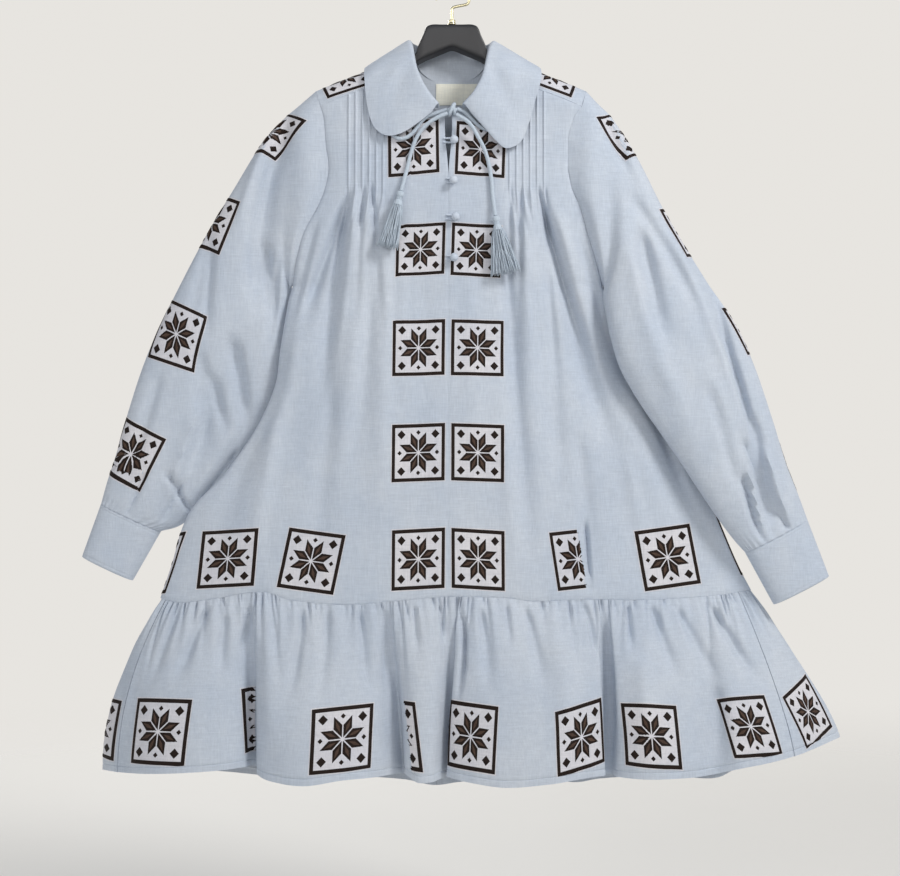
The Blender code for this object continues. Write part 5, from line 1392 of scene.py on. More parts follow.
FINE_RIGHT_SLEEVE_FOLDS = [
    Fold(-400, -570, 308, 342, 364, 4, 6, -6.0),
    Fold(-290, -600, 252, 326, 370, 8, 12, 4.5),
    Fold(-592, -686, 342, 354, 371, 4, 5, -8.5),
    Fold(-132, -260, 168, 190, 220, 6, 8, -4.5),
    Fold(-300, -450, 226, 238, 252, 6, 9, -4.5),
    Fold(-560, -670, 368, 386, 404, 5, 7, 4.0),
    Fold(-260, -420, 210, 262, 300, 8, 10, -4.0),
    Fold(-480, -640, 300, 322, 344, 6, 8, -4.0),
    Fold(-620, -690, 380, 396, 410, 3, 4, -4.0),
    Fold(-560, -680, 344, 358, 368, 4, 6, 3.0),
    Fold(-340, -640, 300, 345, 376, 4, 6, -5.0),
    Fold(-300, -480, 222, 232, 262, 7, 10, -5.0),
    Fold(-520, -690, 356, 366, 386, 8, 10, -7.0),
    Fold(-548, -668, 342, 368, 396, 4, 6, -7.0),
]
FINE_RUFFLE_FOLDS = [
    Fold(-747, -865, -175, -176, -193, 3.0, 8, -5.5),
    Fold(-758, -838, -264, -271, -269, 4.0, 8, -4.5),
    Fold(-747, -812, -235, -242, -246, 3.0, 6, -4.5),
    Fold(-747, -848, -284, -308, -327, 3.5, 9, -5.0),
    Fold(-747, -860, -317, -344, -360, 4.0, 8, -3.0),
    Fold(-747, -872, -146, -146, -156, 3.0, 9, -3.5),
    Fold(-747, -866, -110, -102, -96, 3.0, 8, -4.5),
    Fold(-747, -862, -80, -73, -77, 4.0, 7, -5.0),
    Fold(-747, -812, -44, -42, -40, 2.5, 5, -3.5),
    Fold(-747, -800, -14, -10, -7, 2.5, 5, -3.5),
    Fold(-752, -870, 11, 19, 2, 3.0, 4, -7.0),
    Fold(-747, -860, 31, 45, 40, 3.5, 9, -4.0),
    Fold(-747, -803, 64, 66, 68, 2.5, 5, -3.5),
    Fold(-747, -850, 85, 99, 107, 3.5, 10, -4.5),
    Fold(-747, -824, 156, 167, 174, 3.0, 6, -4.5),
    Fold(-755, -955, 179, 187, 186, 4.0, 5, -5.5),
    Fold(-747, -812, 208, 211, 210, 2.5, 4.5, -5.0),
    Fold(-747, -850, 235, 254, 266, 3.5, 9, -5.0),
    Fold(-747, -850, 262, 294, 314, 3.5, 9, -4.0),
    Fold(-747, -856, 305, 336, 372, 4.0, 10, -6.5),
    Fold(-840, -950, 310, 312, 313, 8.0, 12, -3.5),
    Fold(-775, -935, -214, -212, -206, 9.0, 14, 3.0),
    Fold(-775, -930, 128, 132, 134, 12, 16, 3.5),
    Fold(-800, -950, 222, 226, 232, 10, 14, 3.0),
]


def uneven(x, y, z):
    """Soft unevenness of hung linen, longer down the cloth than across it."""
    broad = noise.noise(Vector((x * 17, y * 17, z * 6)))
    small = noise.noise(Vector((x * 62 + 5, y * 62, z * 21)))
    return 1.3 * MM * broad + 0.38 * MM * small


def front_face(x, z):
    """Depth of the front's outer face with its finer folds."""
    calm = ease(from_side(x, z) / (22 * MM))
    calm *= ease((front_top(x) - z) / (14 * MM)) * ease((z - body_hem(x)) / (10 * MM))
    extra = fold_depth(FINE_FRONT_FOLDS, x, z) + uneven(x, 0.0, z)
    seam_turn = 0.8 * MM * (1.0 - ease((z - body_hem(x)) / (3.5 * MM)))
    seam_turn += 0.5 * MM * (1.0 - ease((front_top(x) - z) / (3.0 * MM)))
    return front_y(x, z) - calm * extra + seam_turn


def back_face(x, z):
    """Depth of the back's outer face with its gathers."""
    calm = ease(from_side(x, z) / (22 * MM))
    calm *= ease((BACK_YOKE_Z - z) / (14 * MM)) * ease((z - back_hem(x)) / (10 * MM))
    gathers = 0.9 * MM * math.sin(x / (3.1 * MM)) * ease((z - BACK_YOKE_Z + 70 * MM) / (70 * MM))
    return back_y(x, z) + calm * (uneven(x, 0.3, z) + gathers)


# Surfaces that embroidery can be laid on
class Surface:
    """A grid of points that can be walked over; the front of it is seen by the camera."""

    def __init__(self, grid, closed=False):
        self.grid = grid
        self.closed = closed
        self.rows = len(grid)
        self.count = len(grid[0])
        faces = []
        last = self.count if closed else self.count - 1
        for r in range(self.rows - 1):
            for c in range(last):
                d = (c + 1) % self.count
                a = r * self.count
                faces.append((a + c, a + d, a + self.count + d, a + self.count + c))
        self.last = last
        self.tree = BVHTree.FromPolygons([p for row in grid for p in row], faces)
        self.turn = 1.0

    def at(self, a, b):
        """The point at row a and column b, or None outside the cloth."""
        if self.closed:
            b %= self.count
        if a < 0 or a > self.rows - 1 or b < 0 or (b > self.count - 1 and not self.closed):
            return None
        r = min(int(a), self.rows - 2)
        c = int(b) if self.closed else min(int(b), self.count - 2)
        d = (c + 1) % self.count
        low = self.grid[r][c].lerp(self.grid[r][d], b - c)
        high = self.grid[r + 1][c].lerp(self.grid[r + 1][d], b - c)
        return low.lerp(high, a - r)

    def slopes(self, a, b):
        here_a = clamp(a, 0.6, self.rows - 1.6)
        here_b = b if self.closed else clamp(b, 0.6, self.count - 1.6)
        down = self.at(here_a + 0.6, here_b) - self.at(here_a - 0.6, here_b)
        along = self.at(here_a, here_b + 0.6) - self.at(here_a, here_b - 0.6)
        out = down.cross(along).normalized() * self.turn
        return down / 1.2, along / 1.2, out

    def step(self, a, b, move):
        """The row and column after a short move over the cloth."""
        down, along, _ = self.slopes(a, b)
        dd = down.dot(down)
        aa = along.dot(along)
        da = down.dot(along)
        flat = dd * aa - da * da
        md = move.dot(down)
        ma = move.dot(along)
        return a + (md * aa - ma * da) / flat, b + (ma * dd - md * da) / flat

    def seen_at(self, px, py):
        """Row and column of the cloth seen at a pixel of the photograph."""
        eye = Vector((VIEW_X, -VIEW_DISTANCE, VIEW_Z))
        target = Vector((1.2 * MM * (px - 452), 0.0, -28.6 * MM - 1.2 * MM * py))
        hit, _, index, _ = self.tree.ray_cast(eye, (target - eye).normalized())
        if hit is None:
            hit, _, index, _ = self.tree.find_nearest(target)
        a = index // self.last + 0.5
        b = index % self.last + 0.5
        for _ in range(4):
            here = self.at(clamp(a, 0, self.rows - 1), b if self.closed else clamp(b, 0, self.count - 1))
            a, b = self.step(a, b, hit - here)
        return a, b


# Embroidered squares
Square = namedtuple("Square", "x z at_u at_v across_x across_z down_x down_z tall from_u to_u")


def full(tl, tr, br, bl):
    """A square whose four corners are seen, from pixels of the photograph."""
    across = ((tr[0] - tl[0] + br[0] - bl[0]) / 2, (tr[1] - tl[1] + br[1] - bl[1]) / 2)
    down = ((bl[0] - tl[0] + br[0] - tr[0]) / 2, (bl[1] - tl[1] + br[1] - tr[1]) / 2)
    x = (tl[0] + tr[0] + br[0] + bl[0]) / 4
    z = (tl[1] + tr[1] + br[1] + bl[1]) / 4
    return Square(x, z, 0, 0, *across, *down, None, -1, 1)


def edge_square(start, end, at_u, across, tall=None, from_u=-1, to_u=1):
    """A square known by one upright edge, from its upper to its lower end, and the share that shows."""
    return Square((start[0] + end[0]) / 2, (start[1] + end[1]) / 2, at_u, 0, *across,
                  end[0] - start[0], end[1] - start[1], tall, from_u, to_u)


LAY_STEPS = 20


def lay_out(surface, square):
    """Rows and columns of the cloth under a grid over the square."""
    a, b = surface.seen_at(square.x, square.z)
    _, _, out = surface.slopes(a, b)

    def on_cloth(dx, dz):
        flat = Vector((dx * 1.2 * MM, 0.0, -dz * 1.2 * MM))
        flat.y = -(out.x * flat.x + out.z * flat.z) / out.y if abs(out.y) > 0.35 else 0.0
        flat -= out * flat.dot(out)
        return flat

    across = on_cloth(square.across_x, square.across_z) / 2
    down = on_cloth(square.down_x, square.down_z) / 2
    if square.tall:
        down = down.normalized() * square.tall * MM / 2

    def walk(start, direction, distance, kept):
        """Carries the direction over the cloth for that share of its own length."""
        here_a, here_b = start
        vector = direction.copy()
        other = kept.copy()
        steps = 3
        for _ in range(steps):
            _, _, normal = surface.slopes(here_a, here_b)
            vector = (vector - normal * vector.dot(normal)).normalized() * direction.length
            other = (other - normal * other.dot(normal)).normalized() * kept.length
            here_a, here_b = surface.step(here_a, here_b, vector * distance / steps)
        return (here_a, here_b), vector, other

    shares = [2 * i / LAY_STEPS - 1 for i in range(LAY_STEPS + 1)]

    def line(start, direction, kept, begin):
        """Places along one direction at every share, walked outward from the beginning."""
        places = [None] * len(shares)
        nearest = min(range(len(shares)), key=lambda i: abs(shares[i] - begin))
        first = walk(start, direction, shares[nearest] - begin, kept)
        places[nearest] = first
        for way in (1, -1):
            state = first
            i = nearest + way
            while 0 <= i < len(shares):
                (spot, vector, other) = state
                if surface.at(*spot) is None:
                    break
                state = walk(spot, vector, shares[i] - shares[i - way], other)
                places[i] = state
                i += way
        return places

    spine = line((a, b), down, across, square.at_v)
    table = []
    for state in spine:
        if state is None:
            table.append([None] * len(shares))
            continue
        spot, down_here, across_here = state
        row = line(spot, across_here, down_here, square.at_u)
        table.append([None if place is None else place[0] for place in row])
    return table


def placed(surface, square, table, u, v, height):
    """The point over the cloth at a place of the square, or None where it doesn't show."""
    if not square.from_u <= u <= square.to_u:
        return None
    fu = clamp((u + 1) / 2, 0.0, 1.0) * LAY_STEPS
    fv = clamp((v + 1) / 2, 0.0, 1.0) * LAY_STEPS
    c = min(int(fu), LAY_STEPS - 1)
    r = min(int(fv), LAY_STEPS - 1)
    corners = (table[r][c], table[r][c + 1], table[r + 1][c], table[r + 1][c + 1])
    if None in corners:
        return None
    tu = fu - c
    tv = fv - r
    a = mix(mix(corners[0][0], corners[1][0], tu), mix(corners[2][0], corners[3][0], tu), tv)
    b = mix(mix(corners[0][1], corners[1][1], tu), mix(corners[2][1], corners[3][1], tu), tv)
    point = surface.at(a, b)
    if point is None:
        return None
    _, _, out = surface.slopes(a, b)
    return point + out * height


def lozenge_points(x, z, angle, half_length, half_width):
    """A diamond about its middle, with three points along each side."""
    points = []
    tips = ((half_length, 0.0), (0.0, half_width), (-half_length, 0.0), (0.0, -half_width))
    for k in range(12):
        first = tips[k // 3]
        second = tips[(k // 3 + 1) % 4]
        along = mix(first[0], second[0], k % 3 / 3)
        aside = mix(first[1], second[1], k % 3 / 3)
        points.append((x + along * math.cos(angle) - aside * math.sin(angle),
                       z + along * math.sin(angle) + aside * math.cos(angle)))
    return points


# The drawing in a square: an eight-pointed star and diamonds in a plain frame
STAR_POINTS = 8
FRAME_INNER = 0.83
FRAME_OUTER = 0.955
FRAME_STEPS = 26
GROUND_STEPS = 26
GROUND_EDGE = 0.985
# How far across the frame's band, and how high it stands there in millimetres
FRAME_SECTION = ((0.0, 0.05), (0.14, 0.5), (0.4, 0.64), (0.52, 0.5), (0.66, 0.64), (0.9, 0.5), (1.0, 0.05))


def motif():
    """The square's raised shapes in dark thread, and thin strips of lighter brown laid over them as a
    painted highlight.
    """
    pads = []
    highlight_strips = []
    for k in range(STAR_POINTS):
        angle = 2 * math.pi * (k + 0.5) / STAR_POINTS
        across = math.cos(angle)
        up = math.sin(angle)
        pads.append((lozenge_points(0.39 * across, 0.39 * up, angle, 0.365, 0.155), 0.6))
        # A thin strip along the middle of each star point, painted lighter as its highlight
        highlight_strips.append(lozenge_points(0.4 * across, 0.4 * up, angle, 0.19, 0.05))
    for k in range(4):
        diagonal = math.pi * (k + 0.5) / 2
        corner = (0.86 * math.cos(diagonal), 0.86 * math.sin(diagonal))
        pads.append((lozenge_points(*corner, 0.0, 0.16, 0.16), 0.6))
        side = (0.67 * math.cos(math.pi * k / 2), 0.67 * math.sin(math.pi * k / 2))
        pads.append((lozenge_points(*side, 0.0, 0.085, 0.085), 0.6))
    return pads, highlight_strips


def frame_spot(k, radius):
    """The place of one step round the square frame."""
    along = 2 * (k % FRAME_STEPS) / FRAME_STEPS - 1
    turn = math.pi / 2 * (k // FRAME_STEPS)
    return (radius * (along * math.cos(turn) + math.sin(turn)),
            radius * (along * math.sin(turn) - math.cos(turn)))


def embroider(name, surface, squares):
    """Lays the squares on one piece of cloth: pale ground, dark thread, and lighter brown strips over it as
    a painted highlight.
    """
    pads, highlight_strips = motif()
    dark = ([], [])
    highlight_layer = ([], [])
    pale = ([], [])

    def middle(outline):
        count = len(outline)
        return sum(p[0] for p in outline) / count, sum(p[1] for p in outline) / count

    def add(layer, places, polygons):
        """Adds the polygons whose places all lie on the cloth."""
        points, faces = layer
        index = {}
        for polygon in polygons:
            if any(places[i] is None for i in polygon):
                continue
            face = []
            for i in polygon:
                if i not in index:
                    index[i] = len(points)
                    points.append(places[i])
                face.append(index[i])
            faces.append(face)

    for square in squares:
        table = lay_out(surface, square)
        steps = GROUND_STEPS
        patch = []
        for j in range(steps + 1):
            for i in range(steps + 1):
                u = (2 * i / steps - 1) * GROUND_EDGE
                v = (2 * j / steps - 1) * GROUND_EDGE
                patch.append(placed(surface, square, table, u, v, 0.16 * MM))
        polygons = []
        for j in range(steps):
            for i in range(steps):
                k = j * (steps + 1) + i
                polygons.append((k, k + steps + 1, k + steps + 2, k + 1))
        add(pale, patch, polygons)
        for outline, high in pads:
            count = len(outline)
            mid_u, mid_v = middle(outline)
            places = [placed(surface, square, table, u, v, 0.05 * MM) for u, v in outline]
            for u, v in outline:
                spot = (mix(u, mid_u, 0.3), mix(v, mid_v, 0.3))
                places.append(placed(surface, square, table, *spot, high * 0.85 * MM))
            places.append(placed(surface, square, table, mid_u, mid_v, high * MM))
            polygons = []
            for k in range(count):
                d = (k + 1) % count
                polygons.append((k, d, count + d, count + k))
                polygons.append((count + k, count + d, 2 * count))
            add(dark, places, polygons)
        spokes = 4 * FRAME_STEPS
        places = []
        for k in range(spokes):
            for share, high in FRAME_SECTION:
                spot = frame_spot(k, mix(FRAME_INNER, FRAME_OUTER, share))
                places.append(placed(surface, square, table, *spot, high * MM))
        wide = len(FRAME_SECTION)
        polygons = []
        for k in range(spokes):
            d = (k + 1) % spokes
            for i in range(wide - 1):
                polygons.append((wide * k + i, wide * d + i, wide * d + i + 1, wide * k + i + 1))
        add(dark, places, polygons)
        # Thin lighter brown strips on the crests of the star points: a painted highlight
        for outline in highlight_strips:
            count = len(outline)
            mid_u, mid_v = middle(outline)
            places = [placed(surface, square, table, u, v, 0.66 * MM) for u, v in outline]
            places.append(placed(surface, square, table, mid_u, mid_v, 0.85 * MM))
            add(highlight_layer, places, [(k, (k + 1) % count, count) for k in range(count)])
    for kind, layer, look in (("embroidery_", dark, THREAD_LOOK), ("painted_highlight_", highlight_layer, PAINTED_HIGHLIGHT_LOOK),
                              ("ground_", pale, GROUND_LOOK)):
        place_piece(mesh_object(kind + name, *layer, look, 180), "cloth")


FRONT_LEFT_SQUARES = [
    full((387.5, 121), (439, 118), (441, 173.5), (386.8, 177.8)),
    full((397, 225), (445.5, 220.5), (446, 275.5), (393.5, 276.5)),
    full((393, 320), (445, 318), (445.5, 376), (391, 377)),
    full((392, 424), (445, 422), (446, 481), (390, 483)),
    full((392, 529), (445, 527), (446, 588), (390, 592)),
    full((202, 529), (259, 528.5), (256, 584), (194, 592)),
    full((290, 527), (345, 534), (336, 596), (273, 587)),
    edge_square((188, 530), (166, 594), 1, (60, -2)),
]
FRONT_RIGHT_SQUARES = [
    full((456, 121), (507, 122), (505.5, 179.5), (453.5, 174.5)),
    full((451, 222), (503.5, 224), (501, 279), (450, 275.5)),
    full((451, 318), (505, 320), (504, 377), (450.5, 376)),
    full((451, 422), (505, 424), (505, 483), (450.5, 481)),
    full((451, 527), (505, 530), (506, 592), (450.5, 588)),
    full((547, 531), (599, 527), (607, 586), (558, 592))._replace(to_u=0.2),
    full((632, 530), (692, 522), (703, 585), (643, 592)),
    edge_square((714, 515), (740, 576.5), -1, (58, 3)),
]
SLEEVE_LEFT_SQUARES = [
    edge_square((307, 120.5), (276, 161), 1, (45, 26)),
    edge_square((242, 201), (220, 256.5), 1, (48, 21)),
    edge_square((209, 316), (193, 374), 1, (50, 22)),
    edge_square((168, 438.5), (140, 494), 1, (48, 24)),
]
SLEEVE_RIGHT_SQUARES = [
    edge_square((594, 117), (623, 163), -1, (48, -19)),
    edge_square((657, 209), (687, 258), -1, (48, -18)),
    edge_square((721, 307), (748, 356), -1, (48, -18)),
    edge_square((783, 449), (792, 484), -1, (50, -18), 64),
]
RUFFLE_FRONT_SQUARES = [
    full((130, 699), (193, 698), (185, 764), (124, 765)),
    edge_square((239.4, 688.5), (244.2, 754), -1, (60, -3), None, -1, -0.5),
    full((312, 708), (375, 705), (372, 769), (310.5, 774)),
    edge_square((416.3, 702), (424.8, 772), 1, (60, 2), None, 0.46, 1),
    edge_square((500, 707), (496, 774), 1, (54, 6)),
    full((554, 711), (606, 698), (606, 765), (560, 774)),
    full((621, 702), (678, 706), (685, 770), (623, 766)),
    full((715, 695), (768, 697.5), (786, 753), (734, 760)),
]
RUFFLE_RIGHT_SQUARES = [
    full((781, 695), (809.5, 673), (836, 729.5), (806, 749)),
]
RUFFLE_LEFT_SQUARES = [
    edge_square((122, 700), (114, 762), 1, (60, 2)),
]


YOKE_SQUARES = [
    Square(327, 100, -1, 1, 50, -18, 6, 12, 64, -1, 1),
    Square(572, 99, 1, 1, 49.5, 19, -4, 10, 64, -1, 1),
]


# Cloth pieces
def front_panel(name, side, squares):
    edge = left_edge if side < 0 else right_edge
    fan = left_fan if side < 0 else right_fan
    outer_tuck = TUCK_LEFT_X if side < 0 else TUCK_RIGHT_X
    fan_top = fan(TUCK_END_Z)
    width = abs(fan_top - CENTRE_FRONT)
    first = abs(fan_top - outer_tuck) / width
    tuck_span = (TUCK_COUNT - 1) * TUCK_SPACING / width
    margin = TUCK_HALF_WIDTH * 1.5 / width
    rolls = [0.0, 0.4, 0.9, 1.6, 2.6, 4.0, 6.0]
    shares = [mix(0.055, first - margin, i / 18) for i in range(18)]
    shares += [mix(first - margin, first + tuck_span + margin, i / 84) for i in range(85)]
    shares += [mix(first + tuck_span + margin, 1.0, i / 36) for i in range(1, 37)]
    rows = 176

    def x_at(index, z):
        if index < len(rolls):
            return edge(z) - side * rolls[index] * MM
        share = shares[index - len(rolls)]
        fanned = mix(fan(z), CENTRE_FRONT, share)
        pull = clamp(1.0 - share / 0.2, 0.0, 1.0)
        fanned += (edge(z) - fan(z)) * pull
        centre = CENTRE_FRONT + side * (SEAM_GAP / 2 + slit(z))
        opened = ease((share - 0.86) / 0.14)
        return centre if share > 0.999 else mix(fanned, fanned + side * slit(z), opened)

    count = len(rolls) + len(shares)
    points = []
    for r in range(rows + 1):
        points.append([None] * count)
    for c in range(count):
        top = front_top(x_at(c, front_top(x_at(c, -160 * MM))))
        bottom = body_hem(x_at(c, -745 * MM))
        for r in range(rows + 1):
            z = mix(top, bottom, r / rows)
            x = x_at(c, z)
            y = front_face(x, z)
            if c == 0 and z <= UNDERARM_Z:
                y = middle_sheet(x, z) - SEAM_GAP / 2
            turned = 0.35 * MM * (1.0 - ease(abs(x - CENTRE_FRONT - side * slit(z)) / (2.0 * MM)))
            points[r][c] = Vector((x, y + turned, z))

    def steer(r, c, direction):
        if direction.y < 0:
            direction = -direction
        if r in (0, rows):
            direction = flat_in_z(direction)
        if c == 0:
            above = points[r][c].z > UNDERARM_Z + 1 * MM
            direction = Vector((0, 1, 0)) if above else Vector((-side, 0, 0))
        if c == count - 1:
            direction.x = 0.0
        return direction

    item = wall("cloth_" + name, points, inset(points, CLOTH, steer), CLOTH_LOOK)
    place_piece(item, "cloth", name)
    surface = Surface(points)
    _, _, out = surface.slopes(rows * 0.5, count * 0.6)
    surface.turn = -1.0 if out.y > 0 else 1.0
    embroider(name, surface, squares)
    return item


def back_panel():
    rolls = [0.0, 0.8, 2.0, 4.0]
    inner = [mix(0.03, 0.97, step / 150.0) for step in range(151)]
    count = len(inner) + 2 * len(rolls)
    rows = 110

    def x_at(c, height):
        if c < len(rolls):
            return left_edge(height) + rolls[c] * MM
        if c >= len(inner) + len(rolls):
            return right_edge(height) - rolls[count - 1 - c] * MM
        return mix(left_edge(height), right_edge(height), inner[c - len(rolls)])

    points = []
    for r in range(rows + 1):
        line = []
        for c in range(count):
            bottom = back_hem(x_at(c, -745 * MM))
            z = mix(BACK_YOKE_Z - SEAM_GAP, bottom, r / rows)
            x = x_at(c, z)
            y = back_face(x, z)
            if c in (0, count - 1) and z <= UNDERARM_Z:
                y = middle_sheet(x, z) + SEAM_GAP / 2
            line.append(Vector((x, y, z)))
        points.append(line)

    def steer(r, c, direction):
        if direction.y > 0:
            direction = -direction
        if r in (0, rows):
            direction = flat_in_z(direction)
        if c in (0, count - 1):
            above = points[r][c].z > UNDERARM_Z + 1 * MM
            sideways = Vector((1, 0, 0)) if c == 0 else Vector((-1, 0, 0))
            direction = Vector((0, -1, 0)) if above else sideways
        return direction

    item = wall("cloth_back", points, inset(points, CLOTH, steer), CLOTH_LOOK)
    return place_piece(item, "cloth", "back")


def yoke():
    rays = [yoke_ray(ray, -1) for ray in reversed(YOKE_RAYS)]
    rays += [yoke_ray(ray, 1) for ray in YOKE_RAYS[1:]]
    on_back_seam = [ray.outer_x is not None for ray in YOKE_RAYS]
    on_back_seam = list(reversed(on_back_seam)) + on_back_seam[1:]
    last = len(rays) - 1

    def steer(r, c, direction):
        point = rays[r][c]
        if direction.dot(Vector((0, -point.y, -30 * MM))) < 0:
            direction = -direction
        if c == YOKE_STEPS and not on_back_seam[r]:
            direction.x = 0.0
        if r in (0, last) or (c == YOKE_STEPS and on_back_seam[r]):
            direction = flat_in_z(direction)
        return direction

    outer = refine(rays, 5, 6)
    inner = refine(inset(rays, CLOTH, steer), 5, 6)
    item = wall("cloth_yoke", outer, inner, CLOTH_LOOK)
    place_piece(item, "cloth", "yoke")
    surface = Surface(outer)
    a, b = surface.seen_at(YOKE_SQUARES[0].x, YOKE_SQUARES[0].z)
    surface.turn = 1.0 if surface.slopes(a, b)[2].y < 0 else -1.0
    embroider("yoke", surface, YOKE_SQUARES)
    return item


SLEEVE_SIDES = 110
DEEPEST_SLEEVE_FOLD = -10.5 * MM
# How far each sleeve's inner edge is brought towards the body under the arm
UNDERARM_CLOSING = {-1: 8.0 * MM, 1: 6.0 * MM}


def sleeve(name, side, table, folds, fine_folds, squares):
    """A tube from the armhole through the sleeve's sections to the cuff seam."""
    last = len(table)

    def ring(position, shrink):
        points = []
        for k in range(SLEEVE_SIDES):
            angle = 2 * math.pi * k / SLEEVE_SIDES
            if position <= 0:
                points.append(armhole_point(side, angle, shrink))
                continue
            if position < 1:
                start = armhole_point(side, angle, shrink)
                end = section_point(table[0], angle, shrink)
                point = start.lerp(end, position)
                point.y *= 1.0 + 0.35 * math.sin(math.pi * position) * abs(math.sin(angle))
            else:
                index = min(int(position) - 1, last - 2)
                row = blend_rows(table[index], table[index + 1], position - 1 - index)
                point = section_point(row, angle, shrink)
            front = max(0.0, math.sin(angle))
            fade = ease(position / 2.0) * ease((last - position) / 2.0)
            point.y -= fold_depth(folds, point.x, point.z) * front * fade
            points.append(point)
        closing = UNDERARM_CLOSING[side]
        reach = [-side * point.x for point in points]
        for point in points:
            beside = ease(2.0 * (-side * point.x - min(reach)) / (max(reach) - min(reach)) - 1.0)
            level = math.exp(-((point.z - UNDERARM_Z + 13 * MM) / (24 * MM)) ** 2)
            point.x -= side * closing * beside * level
            point.y += closing / 2 * beside * level
        return points

    stations = [0, 0.5, 1, 2, 3.2, 4.5, 6, 7.3, 8.6, 10, 11, 12, 13 - SEAM_GAP / (12 * MM)]
    outer = refine([ring(station, 0.0) for station in stations], 11, 1)
    inner = refine([ring(station, CLOTH) for station in stations], 11, 1)
    count = len(outer)
    for r in range(count):
        share = r / (count - 1)
        near_cuff = ease((share - 0.86) / 0.14)
        near_top = 1.0 - ease(share / 0.06)
        for k in range(SLEEVE_SIDES):
            angle = 2 * math.pi * k / SLEEVE_SIDES
            point = outer[r][k]
            front = math.sin(angle)
            calm = ease(share / 0.05) * ease((1.0 - share) / 0.04)
            lift = uneven(point.x, front * 0.05, point.z) * abs(front) ** 0.5
            if front > 0:
                fine = 1.7 * fold_depth(fine_folds, point.x, point.z)
                lift += max(DEEPEST_SLEEVE_FOLD, fine) * front ** 0.5
            pucker = math.sin(angle * 29 + 1.5 * math.sin(angle * 5))
            gather = 0.9 * MM * near_cuff * pucker * abs(front) ** 0.4
            gather += 0.25 * MM * near_top * math.sin(angle * 25)
            shift = (lift * calm + gather) * (1 if front >= 0 else -1)
            outer[r][k] = point - Vector((0, shift, 0))
            inner[r][k] = inner[r][k] - Vector((0, shift, 0))
    item = wall("cloth_" + name, outer, inner, CLOTH_LOOK, tube=True)
    place_piece(item, "cloth", name)
    surface = Surface(outer, closed=True)
    _, _, out = surface.slopes(count * 0.5, SLEEVE_SIDES * 0.25)
    surface.turn = -1.0 if out.y > 0 else 1.0
    embroider(name, surface, squares)
    return item


def cuff(name, start, end):
    thickness = 2.2 * MM
    shares = [0.0, 0.012, 0.03, 0.05, 0.065, 0.08, 0.1]
    shares += [0.1 + 0.8 * i / 12 for i in range(1, 13)] + [0.92, 0.935, 0.95, 0.98, 1.0]

    def ring(share, shrink):
        points = []
        for k in range(SLEEVE_SIDES):
            angle = 2 * math.pi * k / SLEEVE_SIDES
            point = section_point(blend_rows(start, end, share), angle, shrink)
            front = math.sin(angle)
            calm = ease(share / 0.1) * ease((1 - share) / 0.1)
            turned = 1.5 * MM * (1.0 - ease(min(share, 1 - share) / 0.032))
            turned += 0.7 * MM * math.exp(-((min(share, 1 - share) - 0.065) / 0.012) ** 2)
            lift = 0.7 * uneven(point.x, front * 0.05, point.z) * calm - turned
            points.append(point - Vector((0, lift * (1 if front >= 0 else -1) * abs(front) ** 0.5, 0)))
        return points

    outer = [ring(share, 0.0) for share in shares]
    inner = [ring(share, thickness) for share in shares]
    item = wall("cloth_" + name, outer, inner, CLOTH_LOOK, tube=True)
    return place_piece(item, "cloth", name)


RUFFLE_DROP = 205 * MM
DEEPEST_RUFFLE_FOLD = -11 * MM
CREASE_SPACING = 11.5 * MM
# A crease is left out of the sum past this distance along the cloth
CREASE_REACH = 45 * MM
# The share of the ruffle's drop at which its hem is stitched, and the levels round it
HEM_STITCHES = 0.9635
STITCH_LEVELS = [0.9585, 0.961, HEM_STITCHES, 0.966, 0.9685, 0.985]
Crease = namedtuple("Crease", "place depth reach drift")


def creases(total, spacing, seed):
    """Uneven creases that run down from the gathered seam."""
    made = []
    place = 4 * MM
    while place < total:
        number = seed + len(made)
        long = gather_hash(number + 31) ** 2.6
        made.append(Crease(place, (1.4 + 4.2 * gather_hash(number + 7) ** 1.3) * MM, (18 + 115 * long) * MM,
                           0.5 * (gather_hash(number + 13) - 0.5)))
        place += spacing * (0.35 + 1.5 * gather_hash(number) ** 1.3)
    return made


def crease_lift(made, starts, place, drop):
    """How far the creases draw the cloth in, and the puffs between them push it out."""
    first = bisect.bisect_left(starts, place - CREASE_REACH)
    total = 1.5 * MM * ease((drop + 2 * MM) / (16 * MM)) * (1.0 - ease((drop - 20 * MM) / (70 * MM)))
    for crease in made[first:]:
        if crease.place > place + CREASE_REACH:
            break
        if drop > crease.reach:
            continue
        width = 1.7 * MM + 0.055 * drop
        aside = (place - crease.place - crease.drift * drop) / width
        if abs(aside) < 2.6:
            fade = ease((drop + 3 * MM) / (7 * MM)) * (1.0 - ease(drop / crease.reach))
            total -= crease.depth * fade * math.exp(-aside * aside)
    return total


